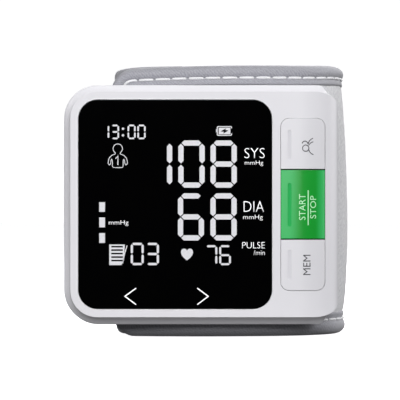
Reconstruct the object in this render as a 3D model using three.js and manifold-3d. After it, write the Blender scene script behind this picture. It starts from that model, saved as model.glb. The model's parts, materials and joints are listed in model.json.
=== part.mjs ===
// Wrist blood pressure monitor: a flat display housing with three keys, carried on a padded cuff that
// closes in a ring round the wrist. Millimetres, +Z up along the wrist, and the display faces -Y.
// Places are measured from the middle of the cuff's ring, at the height of the cuff's lower edge.

import * as THREE from 'three';
import { mergeVertices } from 'three/addons/utils/BufferGeometryUtils.js';
import Module from 'manifold-3d';

// Cuff ring, seen from above
const cuffWidth = 65.3; // outside, left to right
const cuffDepth = 56; // outside, front to back
const cuffHeight = 75; // along the wrist
const ovalExponent = 2.4; // 2 is an ellipse, more is squarer
const fixedEndOverhang = 0.55; // the strap's left end past the ring's left side
const fixedEndRadius = 110; // the strap's left front is nearly flat
const strapCornerRadius = 7;
const wrapHingeAngle = 0; // on the oval, from +X towards +Y, in degrees
const tailHingeAngle = 150;
const tailClearance = 1.3; // over the fixed end, where the tail leaves the oval to tuck under it
const tailTipReach = 7; // middle of the ring to the tail's tip

// Strap layers, from the outside in
const bindingThickness = 0.5;
const bindingWidth = 6.2;
const coverThickness = 0.8;
const curlerThickness = 0.8;
const bladderThickness = 1.2;
const liningThickness = 0.6;
const hookThickness = 0.8;
const layerGap = 0.3;
const bladderMargin = 3; // binding to bladder and curler, along the wrist
const bladderStart = 13.8; // middle of the ring to the bladder's left end
const hookStart = 31; // middle of the ring to the hook pad's two ends
const hookEnd = 13.5;
const cutGap = 0.8; // between two sections of the strap at a hinge line
const sectionEndGap = 3; // curler and bladder end to the hinge line
const tailPadGap = 0.3;
const coverSwell = 1.4; // the cover's crown at the cuff's middle height, over its flat part
const swellRun = 14; // along the strap, from flat to the full crown
const swellHingeGap = 1; // crown to the end of its section at the right hinge line
const crownPower = 0.55; // lower makes the crown flatter
const crownShares = [0, 0.08, 0.25, 0.5, 0.75, 0.92, 1];

// Housing, seen from the front
const bezelOverhang = 11.2; // the bezel past the ring's left side
const bezelHeight = 61.4;
const bezelRadius = 8;
const wingRadius = 3.5; // front view, at the wing's right end
const wingInset = 3.35; // the ring's right side to the wing's
const housingDrop = 1.1; // housing's middle below the cuff's middle
const caseFlare = 2;
const flareDepth = 2.7;

// Housing, seen from above
const wingBendRadius = 18;
const wingBendAngle = 19.5;
const wingCornerRadius = 7;
const wingTip = 1.5; // wing's thickness at its end, where it meets the cuff
const leftWallDepth = 12; // display face to the start of the rounded rear corner
const rearCornerGap = 0.8; // the strap's left end to the rounded rear corner
const coverDepth = 5; // display face to the seam
const wingSeamInset = 2.9; // the wing's right side to the seam
const seamGap = 0.3;
const frontWall = 2.2;
const sideWall = 1.6;
const rearWall = 1.6;
const saddleGap = 0.35; // strap to the case
const edgeRounding = 0.9;
const lipThickness = 0.7;
const lipHeight = 1.5;
const fitGap = 0.3;

// Window and display
const windowKeyGap = 2.41;
const windowRadius = 5.2;
const windowThickness = 1.1;
const windowGap = 0.25;
const windowBorder = 2.25; // bezel's left edge to the window
const windowEndBorder = 2.3; // above and below it
const windowLedge = 1.5;
const openingRelief = 1.25; // the display opening runs this far behind the front wall
const touchFilmThickness = 0.3;
const lcdThickness = 1.5;
const lightGuideThickness = 1.2;
const displaySideInset = 2.6; // window's side to the LCD's
const displayScrewGap = 2.35; // LCD to the screw bosses above and below
const displayRise = 0.6; // above the window's middle
const displayFrameWall = 1;
const displayFrameFloor = 0.8;

// Keys
const keyStripInset = 15.89; // wing's right side to the keys' left side
const keyStripWidth = 12.07;
const keyStripHeight = 46.8;
const keyStripRadius = 2.3;
const middleKeyHeight = 18.64;
const keyGap = 0.3;
const keyTravel = 0.7;
const domePressedHeight = 0.8;
const keyDepth = 4.4; // display face to the key's skirt
const keySkirt = 1.1;
const keyTabReach = 0.9;
const keyTabThickness = 0.8;
const halfTabShare = 0.25; // of the key's height
const keySlotDepth = 0.35;
const keySlotWidth = 0.75;
const keySlotFromEdge = 2;
const keySlotLength = 12;
const sideSlotLength = 8.3;
const keyPostRadius = 1.8;
const domeRadius = 3.2;
const domeTopRadius = 1.7;
const domeWall = 0.4;
const keyBoardThickness = 0.8;
const keyBoardMargin = 0.7;
const keyBoardWing = 0.8; // the key board past the key strip, towards the wing's side

// Main board and what is on it
const boardThickness = 1;
const boardMargin = 1.2;
const boardEndMargin = 2.6;
const chipSize = 7;
const chipThickness = 1;
const chipPlace = [-5, 6];
const driverSize = 5;
const driverPlace = [-5, -9];
const connectorWidth = 4;
const connectorHeight = 6;
const connectorDepth = 2;
const connectorPlace = [-11, -22];
const buzzerRadius = 3.6;
const buzzerHeight = 2.5;
const buzzerGap = 0.9; // to the battery's right side
const buzzerRise = 20;
const usbWidth = 9;
const usbLength = 7.4;
const usbHeight = 3.2;
const usbWall = 0.45;
const usbTongue = 6;
const usbPlace = -25;
const usbRadius = 1.3;
const batteryWidth = 26;
const batteryHeight = 38;
const batteryThickness = 4.4;
const batteryInset = 1.85; // bezel's left edge to the battery
const batteryRadius = 1.2;
const padThickness = 0.5;
const padInsetShare = 0.2; // of the battery's width, round the pad

// Air system, in a row along the wrist behind the keys
const pumpRadius = 4.5;
const pumpInset = 7.1; // wing's right side to the pump's axis
const pumpRearGap = 1.46; // to the case's rear wall
const motorLength = 16;
const motorBossRadius = 1.6;
const motorBossLength = 0.6;
const pumpHeadLength = 11;
const manifoldSize = 8;
const manifoldDepth = 5.6;
const valveLength = 12;
const valveRadius = 4;
const airRowStart = 27.4; // below the housing's middle
const portRadius = 0.8;
const portLength = 1.4;
const tubeRun = 3.6;
const tubeWall = 0.8;
const nippleX = 3.5;
const nippleRadius = 1.6;
const nippleBore = 0.8;
const nippleElbow = 3.2;
const nippleElbowDepth = 2.2;
const nippleHoleGap = 0.3;
const sensorSize = 6;
const sensorHeight = 3.6;
const sensorX = 6.5;
const portPlaceShare = 0.125; // of the sensor, below its port
const cuffPortRise = -1.8; // above the manifold's middle
const sensorPortRise = 2.2;

// Screws
const caseScrewInset = 5.25; // bezel's left edge to the screws' axes
const caseScrewEndInset = 4.9; // bezel's upper and lower edges to the screws' axes
const screwRadius = 0.8;
const screwHeadRadius = 1.5;
const screwHeadHeight = 0.9;
const screwBossRadius = 2.2;
const screwHoleGap = 0.3;
const screwTipGap = 0.6;
const caseScrewSeat = 9.5; // display face to the seats of the case screws
const cuffScrewX = [-14, 9];
const cuffScrewRise = 21;
const cuffBossRadius = 1.9;
const cuffScrewHeadRadius = 1.5;

// How round shapes are divided
const arcStep = 15; // degrees, on what shows
const innerArcStep = 45;
const roundSides = 14;
const strapStep = 3.1;
const ovalStep = 7.5; // degrees
const overrun = 5; // cuts run this far past what they cut

const smallTolerance = 0.0001;

// Worked out from the sizes above
const fixedEndReach = cuffWidth / 2 + fixedEndOverhang;
const rearCornerReach = fixedEndReach + rearCornerGap;
const bezelLeft = -(cuffWidth / 2 + bezelOverhang);
const wingReach = cuffWidth / 2 - wingInset;
const wingSeamReach = wingReach - wingSeamInset;
const keyStripLeft = wingReach - keyStripInset;
const keyStripRight = keyStripLeft + keyStripWidth;
const pumpCentreX = wingReach - pumpInset;
const batteryLeft = bezelLeft + batteryInset;
const boardRight = keyStripLeft - windowKeyGap;
const windowWidth = boardRight - bezelLeft - windowBorder;
const windowHeight = bezelHeight - 2 * windowEndBorder;
const displayWidth = windowWidth - 2 * displaySideInset;
const caseScrewRise = bezelHeight / 2 - caseScrewEndInset;
const displayHeight = 2 * (caseScrewRise - screwBossRadius - displayScrewGap);
const domeHeight = domePressedHeight + keyTravel;
const pumpDepth = keyDepth + domeHeight + keyBoardThickness + 2 * pumpRadius + 4 * fitGap;
const housingRise = pumpDepth + pumpRearGap + rearWall + saddleGap - cuffDepth / 2 - ovalFrontY(pumpCentreX);
const frontY = -cuffDepth / 2 - housingRise;
const housingZ = cuffHeight / 2 - housingDrop;
const strapThickness = 2 * bindingThickness + coverThickness + curlerThickness + bladderThickness
  + liningThickness + 5 * layerGap;
const coverInset = bindingThickness + layerGap;
const curlerInset = coverInset + coverThickness + layerGap;
const bladderInset = curlerInset + curlerThickness + layerGap;
const liningInset = bladderInset + bladderThickness + layerGap;
const hookInset = liningInset + liningThickness + layerGap;
const tailInset = hookInset + hookThickness + tailPadGap;
const tailThickness = 2 * bindingThickness + coverThickness + liningThickness + 3 * layerGap;
const tailLiningInset = coverInset + coverThickness + layerGap;
const ledgeY = frontY + windowThickness + windowGap;
const displayY = frontY + frontWall + fitGap;
const lightGuideY = displayY + lcdThickness + fitGap;
const frameFloorY = lightGuideY + lightGuideThickness + fitGap;
const boardY = frameFloorY + displayFrameFloor + fitGap;
const boardBackY = boardY + boardThickness;
const windowX = bezelLeft + windowBorder + windowWidth / 2;
const keySkirtY = frontY + keyDepth;
const domeY = keySkirtY + fitGap;
const keyBoardY = domeY + domeHeight + fitGap;
const airRowY = keyBoardY + keyBoardThickness + fitGap + pumpRadius + fitGap;

const wasm = await Module();
wasm.setup();

const device = new THREE.Group();

// Materials, with the colours of the photograph
function finish(color, roughness, metalness = 0) {
  return new THREE.MeshStandardMaterial({ color, roughness, metalness });
}

const whiteShell = finish(0xe4e3e8, 0.35);
const greyFabric = finish(0xa9a9af, 0.9);
const whiteFabric = finish(0xd2d2d8, 0.95);
const glossBlack = finish(0x050506, 0.08);
const greenKey = finish(0x2fae4c, 0.35);
const paleSilicone = finish(0xd8d8d2, 0.6);
const boardGreen = finish(0x1d6b3c, 0.5);
const chipBlack = finish(0x1b1b1d, 0.5);
const steel = finish(0xc4c6ca, 0.3, 1);
const clearGlass = finish(0x9aa3a8, 0.1);
const milkPlastic = finish(0xf0f0ea, 0.4);
const foilSilver = finish(0xb8bcc0, 0.35, 1);
const blackPlastic = finish(0x26262a, 0.5);
const hookBlack = finish(0x3a3a3e, 0.9);
const bladderGrey = finish(0x77787d, 0.7);

// Solids: joined, cut and crossed as closed bodies
function solid(geometry) {
  const bare = geometry.clone();
  bare.deleteAttribute('normal');
  bare.deleteAttribute('uv');
  const merged = mergeVertices(bare, smallTolerance);
  return new wasm.Manifold(new wasm.Mesh({
    numProp: 3,
    vertProperties: new Float32Array(merged.attributes.position.array),
    triVerts: new Uint32Array(merged.index.array),
  }));
}

function join(solids) {
  return solids.reduce((whole, next) => whole.add(next));
}

function cut(whole, tools) {
  return tools.reduce((rest, tool) => rest.subtract(tool), whole);
}

function addPiece(name, material, body) {
  const mesh = body.getMesh();
  const geometry = new THREE.BufferGeometry();
  geometry.setAttribute('position', new THREE.BufferAttribute(mesh.vertProperties, 3));
  geometry.setIndex(new THREE.BufferAttribute(mesh.triVerts, 1));
  geometry.computeVertexNormals();
  const piece = new THREE.Mesh(geometry, material);
  piece.name = name;
  device.add(piece);
}

// A front-view outline, x to the right and z up, drawn as a shape and run back along +Y
function runBack(shape, fromY, toY, bevel = {}, step = arcStep) {
  const geometry = new THREE.ExtrudeGeometry(shape, {
    depth: toY - fromY, bevelEnabled: false, curveSegments: 90 / step, ...bevel,
  });
  geometry.rotateX(Math.PI / 2);
  geometry.translate(0, toY, 0);
  return solid(geometry);
}

// A plan-view outline, x to the right and y back, run up along +Z
function runUp(shape, fromZ, toZ, step = arcStep) {
  const geometry = new THREE.ExtrudeGeometry(shape, {
    depth: toZ - fromZ, bevelEnabled: false, curveSegments: 90 / step,
  });
  geometry.translate(0, 0, fromZ);
  return solid(geometry);
}

// A rectangle with its left and right corners rounded by two radii
function roundedShape(left, right, low, high, leftRadius, rightRadius = leftRadius) {
  const shape = new THREE.Shape();
  shape.absarc(left + leftRadius, low + leftRadius, leftRadius, Math.PI, 1.5 * Math.PI);
  shape.absarc(right - rightRadius, low + rightRadius, rightRadius, 1.5 * Math.PI, 2 * Math.PI);
  shape.absarc(right - rightRadius, high - rightRadius, rightRadius, 0, 0.5 * Math.PI);
  shape.absarc(left + leftRadius, high - leftRadius, leftRadius, 0.5 * Math.PI, Math.PI);
  return shape;
}

function centredShape(x, z, width, height, radius) {
  return roundedShape(x - width / 2, x + width / 2, z - height / 2, z + height / 2, radius);
}

function box(fromX, toX, fromY, toY, fromZ, toZ) {
  const geometry = new THREE.BoxGeometry(toX - fromX, toY - fromY, toZ - fromZ);
  geometry.translate((fromX + toX) / 2, (fromY + toY) / 2, (fromZ + toZ) / 2);
  return solid(geometry);
}

// A turned body with its axis along X, Y or Z; the profile lists [radius, place along the axis]
function turned(profile, axis, x, y, z) {
  const points = profile.map(([radius, along]) => new THREE.Vector2(radius, along));
  const geometry = new THREE.LatheGeometry(points, roundSides);
  if (axis === 'x') geometry.rotateZ(-Math.PI / 2);
  if (axis === 'z') geometry.rotateX(Math.PI / 2);
  geometry.translate(x, y, z);
  return solid(geometry);
}

function rod(radius, length, axis, x, y, z) {
  return turned([[0, 0], [radius, 0], [radius, length], [0, length]], axis, x, y, z);
}

function tube(outerRadius, boreRadius, length, axis, x, y, z) {
  return turned([
    [boreRadius, 0], [outerRadius, 0], [outerRadius, length], [boreRadius, length], [boreRadius, 0],
  ], axis, x, y, z);
}

// Cuff paths, seen from above, run counter-clockwise on the strap's outer surface
function ovalPoint(degrees, inset = 0) {
  const angle = THREE.MathUtils.degToRad(degrees);
  const power = 2 / ovalExponent;
  const along = Math.sign(Math.cos(angle)) * Math.abs(Math.cos(angle)) ** power;
  const across = Math.sign(Math.sin(angle)) * Math.abs(Math.sin(angle)) ** power;
  const halfWidth = cuffWidth / 2;
  const halfDepth = cuffDepth / 2;
  const normal = new THREE.Vector2(
    Math.sign(along) * Math.abs(along) ** (ovalExponent - 1) / halfWidth,
    Math.sign(across) * Math.abs(across) ** (ovalExponent - 1) / halfDepth,
  ).normalize();
  return new THREE.Vector2(along * halfWidth, across * halfDepth).addScaledVector(normal, -inset);
}

function ovalPoints(fromDegrees, toDegrees, inset = 0) {
  const count = Math.round(Math.abs(toDegrees - fromDegrees) / ovalStep);
  return Array.from({ length: count + 1 }, (_, i) => (
    ovalPoint(THREE.MathUtils.lerp(fromDegrees, toDegrees, i / count), inset)));
}

function fixedEndPoint(x, inset = 0) {
  const radius = fixedEndRadius - inset;
  return new THREE.Vector2(x, fixedEndRadius - cuffDepth / 2 - Math.sqrt(radius ** 2 - x ** 2));
}

function fixedEndPoints(fromX, toX, count, inset = 0) {
  return Array.from({ length: count }, (_, i) => (
    fixedEndPoint(THREE.MathUtils.lerp(fromX, toX, i / count), inset)));
}

function pathThrough(points) {
  return new THREE.CatmullRomCurve3(points.map((p) => new THREE.Vector3(p.x, p.y, 0)), false, 'centripetal');
}

// Angle at which the oval comes as near to the fixed end as the tail may, found by halving
function tailStart() {
  let low = 180;
  let high = 240;
  for (let i = 0; i < 24; i += 1) {
    const middle = (low + high) / 2;
    const point = ovalPoint(middle);
    if (point.y > fixedEndPoint(point.x, tailInset).y + tailClearance) low = middle;
    else high = middle;
  }
  return low;
}

const fixedEndParts = 5;
const frontPath = pathThrough([
  ...fixedEndPoints(-fixedEndReach - overrun, 0, fixedEndParts),
  ...ovalPoints(-90, wrapHingeAngle),
]);
const wrapPath = pathThrough(ovalPoints(wrapHingeAngle, tailHingeAngle));
const tailPath = pathThrough([
  ...ovalPoints(tailHingeAngle, tailStart()),
  ...fixedEndPoints(-fixedEndReach / 2, overrun - tailTipReach, 2, tailInset),
  fixedEndPoint(overrun - tailTipReach, tailInset),
]);

// A band of strap between two lengths along its path and two insets from its outer surface
function band(path, from, to, insetFrom, insetTo, low, high) {
  const length = path.getLength();
  const count = Math.ceil((to - from) / strapStep);
  const outer = [];
  const inner = [];
  for (let i = 0; i <= count; i += 1) {
    const share = THREE.MathUtils.clamp((from + (to - from) * i / count) / length, 0, 1);
    const point = path.getPointAt(share);
    const tangent = path.getTangentAt(share);
    outer.push(new THREE.Vector2(point.x - tangent.y * insetFrom, point.y + tangent.x * insetFrom));
    inner.push(new THREE.Vector2(point.x - tangent.y * insetTo, point.y + tangent.x * insetTo));
  }
  return runUp(new THREE.Shape([...outer, ...inner.reverse()]), low, high);
}

// The cover's crown between the bindings, embedded at its rim, rising over a run at each end that has one
function crown(path, from, to, runIn, runOut) {
  const length = path.getLength();
  const count = Math.ceil((to - from) / (2 * strapStep));
  const low = bindingWidth + layerGap;
  const high = cuffHeight - low;
  const innerInset = coverInset + coverThickness / 2;
  const rimInset = coverInset + coverThickness / 4;
  const rise = (value, run) => (run ? THREE.MathUtils.smoothstep(value, 0, run) : 1);
  const positions = [];
  for (let i = 0; i <= count; i += 1) {
    const along = from + (to - from) * i / count;
    const point = path.getPointAt(along / length);
    const tangent = path.getTangentAt(along / length);
    const fade = Math.min(rise(along - from, runIn), rise(to - along, runOut));
    const reach = fade * (coverSwell + coverThickness / 4);
    const outer = crownShares.map((up) => (
      [rimInset - reach * Math.sin(Math.PI * up) ** crownPower, THREE.MathUtils.lerp(low, high, up)]));
    [[innerInset, low], ...outer, [innerInset, high]].forEach(([inset, z]) => {
      positions.push(point.x - tangent.y * inset, point.y + tangent.x * inset, z);
    });
  }
  const sides = crownShares.length + 2;
  const last = count * sides;
  const faces = [];
  for (let i = 0; i < count; i += 1) {
    for (let j = 0; j < sides; j += 1) {
      const a = i * sides + j;
      const b = i * sides + (j + 1) % sides;
      faces.push(a, a + sides, b, b, a + sides, b + sides);
    }
  }
  for (let j = 1; j < sides - 1; j += 1) {
    faces.push(0, j, j + 1, last, last + j + 1, last + j);
  }
  const geometry = new THREE.BufferGeometry();
  geometry.setAttribute('position', new THREE.Float32BufferAttribute(positions, 3));
  geometry.setIndex(faces);
  return solid(geometry);
}

// The strap's outline from the front, its end rounded, and the same outline brought in by a margin
function fixedEndOutline(margin) {
  const shape = roundedShape(
    -fixedEndReach + margin, cuffWidth, margin, cuffHeight - margin, strapCornerRadius - margin,
  );
  return runBack(shape, -cuffDepth, cuffDepth);
}

function tailOutline(margin) {
  const shape = roundedShape(
    -cuffWidth, -tailTipReach - margin, margin, cuffHeight - margin, strapCornerRadius - margin,
  );
  return runBack(shape, -cuffDepth, cuffDepth);
}

// A folded edge tape: a channel that wraps the strap's edge, open towards the strap's middle
function foldedTape(path, from, to, thickness, outline) {
  const whole = band(path, from, to, 0, thickness, 0, cuffHeight);
  const past = cutGap / 2;
  const inside = band(
    path, from - past, to + past, bindingThickness, thickness - bindingThickness, 0, cuffHeight);
  const wide = band(path, from - past, to + past, -overrun, thickness + overrun, 0, cuffHeight);
  return cut(whole.intersect(outline(0)), [
    inside.intersect(outline(bindingThickness)),
    wide.intersect(outline(bindingWidth)),
  ]);
}

const bladderLow = bindingWidth + bladderMargin;
const bladderHigh = cuffHeight - bindingWidth - bladderMargin;
const layerMargin = bindingThickness + layerGap;

function frontLengthAt(x) {
  return frontPath.getLength() * fixedEndShare(x);
}

// Share of the front path at which it passes x, found by halving, left of the ring's right end
function fixedEndShare(x) {
  let low = 0;
  let high = 1;
  for (let i = 0; i < 24; i += 1) {
    const middle = (low + high) / 2;
    if (frontPath.getPointAt(middle).x < x) low = middle;
    else high = middle;
  }
  return low;
}

// Places of the screws and the air nipple that pass from the case into the cuff
const saddleY = (x) => (x < 0 ? fixedEndPoint(x, -saddleGap).y : ovalFrontY(x) - saddleGap);

function ovalFrontY(x, grow = 0) {
  const share = Math.abs(x / (cuffWidth / 2 + grow)) ** ovalExponent;
  return -(cuffDepth / 2 + grow) * (1 - share) ** (1 / ovalExponent);
}

const cuffScrews = cuffScrewX.flatMap((x) => (
  [-1, 1].map((side) => ({ x, z: housingZ + side * cuffScrewRise }))));
const nippleZ = housingZ - airRowStart + motorLength + pumpHeadLength + tubeRun + 3 * fitGap
  + manifoldSize / 2 + cuffPortRise;

// Holes through the cover for the curler's bosses and the air nipple
function cuffHoles(bossRadius, holeRadius) {
  const run = cuffDepth / 2;
  const bosses = cuffScrews.map(({ x, z }) => rod(bossRadius, run, 'y', x, frontY, z));
  return [...bosses, rod(holeRadius, run, 'y', nippleX, frontY, nippleZ)];
}

// Strap, front section: fixed to the case, from its rounded left end to the hinge line at the right
function addFrontStrap() {
  const end = frontPath.getLength() - cutGap / 2;
  const padEnd = frontPath.getLength() - sectionEndGap;
  const padStart = frontLengthAt(-bladderStart);
  const bossHoles = cuffHoles(cuffBossRadius + screwHoleGap, nippleRadius + nippleHoleGap);

  const cover = band(frontPath, 0, end, coverInset, coverInset + coverThickness, 0, cuffHeight);
  const pile = crown(frontPath, frontLengthAt(wingSeamReach), end - swellHingeGap, swellRun, 0);
  addPiece('cuff_cover_front', whiteFabric, cut(
    join([cover.intersect(fixedEndOutline(layerMargin)), pile]), bossHoles));

  const lining = band(frontPath, 0, end, liningInset, liningInset + liningThickness, 0, cuffHeight);
  addPiece('cuff_lining_front', greyFabric, lining.intersect(fixedEndOutline(layerMargin)));

  addPiece('edge_binding_front', greyFabric, foldedTape(frontPath, 0, end, strapThickness, fixedEndOutline));

  const plate = band(
    frontPath, padStart - bladderMargin, padEnd, curlerInset, curlerInset + curlerThickness,
    bladderLow, bladderHigh,
  );
  const bosses = cuffScrews.map(({ x, z }) => (
    rod(cuffBossRadius, saddleGap + curlerInset + curlerThickness / 2 - 2 * fitGap, 'y', x,
      saddleY(x) + 2 * fitGap, z)));
  const screwHoles = cuffScrews.map(({ x, z }) => (
    rod(screwRadius + screwHoleGap, cuffDepth / 2, 'y', x, frontY, z)));
  const passage = rod(nippleRadius + nippleHoleGap, cuffDepth / 2, 'y', nippleX, frontY, nippleZ);
  addPiece('cuff_curler_front', milkPlastic, cut(join([plate, ...bosses]), [...screwHoles, passage]));

  addPiece('bladder_front', bladderGrey, band(
    frontPath, padStart, padEnd, bladderInset, bladderInset + bladderThickness, bladderLow, bladderHigh,
  ));

  addPiece('hook_pad', hookBlack, band(
    frontPath, frontLengthAt(-hookStart), frontLengthAt(-hookEnd), hookInset, hookInset + hookThickness,
    bladderLow, bladderHigh,
  ).intersect(fixedEndOutline(bindingWidth)));
}

// Strap, back section: opens about the hinge line at the right
function addWrap() {
  const start = cutGap / 2;
  const end = wrapPath.getLength() - cutGap / 2;
  const padStart = sectionEndGap;
  const padEnd = wrapPath.getLength() - sectionEndGap;
  const layer = (from, to, inset, thickness, low, high) => (
    band(wrapPath, from, to, inset, inset + thickness, low, high));

  const flat = layer(start, end, coverInset, coverThickness, layerMargin, cuffHeight - layerMargin);
  addPiece('cuff_cover_back', whiteFabric, flat.add(
    crown(wrapPath, start + swellHingeGap, end, 0, swellRun)));
  addPiece('cuff_lining_back', greyFabric, layer(
    start, end, liningInset, liningThickness, layerMargin, cuffHeight - layerMargin));
  addPiece('cuff_curler_back', milkPlastic, layer(
    padStart, padEnd, curlerInset, curlerThickness, bladderLow, bladderHigh));
  addPiece('bladder_back', bladderGrey, layer(
    padStart, padEnd, bladderInset, bladderThickness, bladderLow, bladderHigh));

  const inner = strapThickness - 2 * bindingThickness;
  const lower = layer(start, end, 0, strapThickness, 0, bindingWidth);
  const upper = layer(start, end, 0, strapThickness, cuffHeight - bindingWidth, cuffHeight);
  addPiece('edge_binding_back_low', greyFabric, cut(lower, [
    layer(0, end + start, bindingThickness, inner, bindingThickness, bindingWidth + overrun)]));
  addPiece('edge_binding_back_high', greyFabric, cut(upper, [
    layer(0, end + start, bindingThickness, inner,
      cuffHeight - bindingWidth - overrun, cuffHeight - bindingThickness)]));
}

// Strap, tail: the thin end that tucks under the strap's fixed end and closes on the hook pad
function addTail() {
  const start = cutGap / 2;
  const end = tailPath.getLength();
  const layer = (inset, thickness) => (
    band(tailPath, start, end, inset, inset + thickness, 0, cuffHeight).intersect(tailOutline(layerMargin)));
  addPiece('tail_cover', whiteFabric, layer(coverInset, coverThickness));
  addPiece('tail_lining', greyFabric, layer(tailLiningInset, liningThickness));
  addPiece('edge_binding_tail', greyFabric, foldedTape(tailPath, start, end, tailThickness, tailOutline));
}

// Housing outline from above: flat face, wing bending back at the right, saddle that follows the strap
const wingCentre = (() => {
  const angle = THREE.MathUtils.degToRad(wingBendAngle - 90);
  const reach = wingBendRadius - wingCornerRadius;
  return new THREE.Vector2(
    wingReach - wingCornerRadius,
    frontY + wingBendRadius + reach * Math.sin(angle),
  );
})();
const wingFlatEnd = wingCentre.x - (wingBendRadius - wingCornerRadius)
  * Math.cos(THREE.MathUtils.degToRad(wingBendAngle - 90));

function planShape(frontInset, rearInset, tip) {
  const start = THREE.MathUtils.degToRad(-90);
  const bend = THREE.MathUtils.degToRad(wingBendAngle - 90);
  const shape = new THREE.Shape();
  const farLeft = bezelLeft - caseFlare - overrun;
  const saddleLift = saddleGap + rearInset;
  const wingEndY = ovalFrontY(wingReach - frontInset - tip, saddleLift);
  shape.moveTo(farLeft, frontY + frontInset);
  shape.lineTo(wingFlatEnd, frontY + frontInset);
  shape.absarc(wingFlatEnd, frontY + wingBendRadius, wingBendRadius - frontInset, start, bend);
  shape.absarc(wingCentre.x, wingCentre.y, wingCornerRadius - frontInset, bend, 0);
  shape.lineTo(wingReach - frontInset, wingEndY);
  const saddle = ovalPoints(-90, 0, -saddleLift).filter((p) => p.y < wingEndY - smallTolerance).reverse();
  saddle.forEach((p) => shape.lineTo(p.x, p.y));
  fixedEndPoints(-rearCornerReach, 0, fixedEndParts, -saddleLift).reverse()
    .forEach((p) => shape.lineTo(p.x, p.y));
  const cornerX = bezelLeft - caseFlare + rearInset;
  const corner = fixedEndPoint(-rearCornerReach, -saddleLift);
  shape.quadraticCurveTo(cornerX, corner.y, cornerX, frontY + leftWallDepth);
  shape.lineTo(farLeft, frontY + leftWallDepth);
  return shape;
}

const housingLow = housingZ - bezelHeight / 2;
const housingHigh = housingZ + bezelHeight / 2;

function housingOutline(grow) {
  return roundedShape(
    bezelLeft - grow, wingReach + grow, housingLow - grow, housingHigh + grow,
    bezelRadius + grow, wingRadius + grow,
  );
}

const caseRoom = runUp(planShape(0, 0, wingTip), -overrun, cuffHeight + overrun);
const cavity = runUp(planShape(frontWall, rearWall, 0), -overrun, cuffHeight + overrun);
const seamY = frontY + coverDepth;

function caseScrewSpots() {
  return [-1, 1].map((side) => ({ x: bezelLeft + caseScrewInset, z: housingZ + side * caseScrewRise }));
}

// Front cover: face, window seat, key opening, short side walls, and the wing down to the cuff
function addFrontCover() {
  const bevel = {
    bevelEnabled: true, bevelSize: edgeRounding, bevelThickness: edgeRounding,
    bevelOffset: -edgeRounding, bevelSegments: 3,
  };
  const outside = runBack(housingOutline(0), frontY + edgeRounding, cuffDepth / 2, bevel).intersect(caseRoom);
  const inside = runBack(housingOutline(-sideWall), frontY, cuffDepth).intersect(cavity);
  const behindSeam = box(
    -2 * cuffWidth, wingSeamReach, seamY, cuffDepth, -overrun, cuffHeight + overrun,
  );
  const seat = runBack(
    centredShape(windowX, housingZ, windowWidth + 2 * windowGap, windowHeight + 2 * windowGap, windowRadius),
    frontY - overrun, ledgeY,
  );
  const opening = runBack(
    centredShape(
      windowX, housingZ, windowWidth - 2 * windowLedge, windowHeight - 2 * windowLedge,
      windowRadius - windowLedge,
    ),
    frontY - overrun, frontY + frontWall + openingRelief,
  );
  const keyOpening = runBack(
    roundedShape(
      keyStripLeft - keyGap, keyStripRight + keyGap, housingZ - keyStripHeight / 2 - keyGap,
      housingZ + keyStripHeight / 2 + keyGap, keyStripRadius + keyGap,
    ),
    frontY - overrun, keySkirtY,
  );
  const bosses = caseScrewSpots().map(({ x, z }) => (
    rod(screwBossRadius, seamY - frontY - frontWall / 2, 'y', x, frontY + frontWall / 2, z)));
  const holes = caseScrewSpots().map(({ x, z }) => (
    rod(screwRadius + screwHoleGap, seamY + overrun - ledgeY, 'y', x, ledgeY, z)));
  const shell = cut(outside, [inside, behindSeam]);
  addPiece('front_cover', whiteShell, cut(join([shell, ...bosses]), [seat, opening, keyOpening, ...holes]));
}

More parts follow.
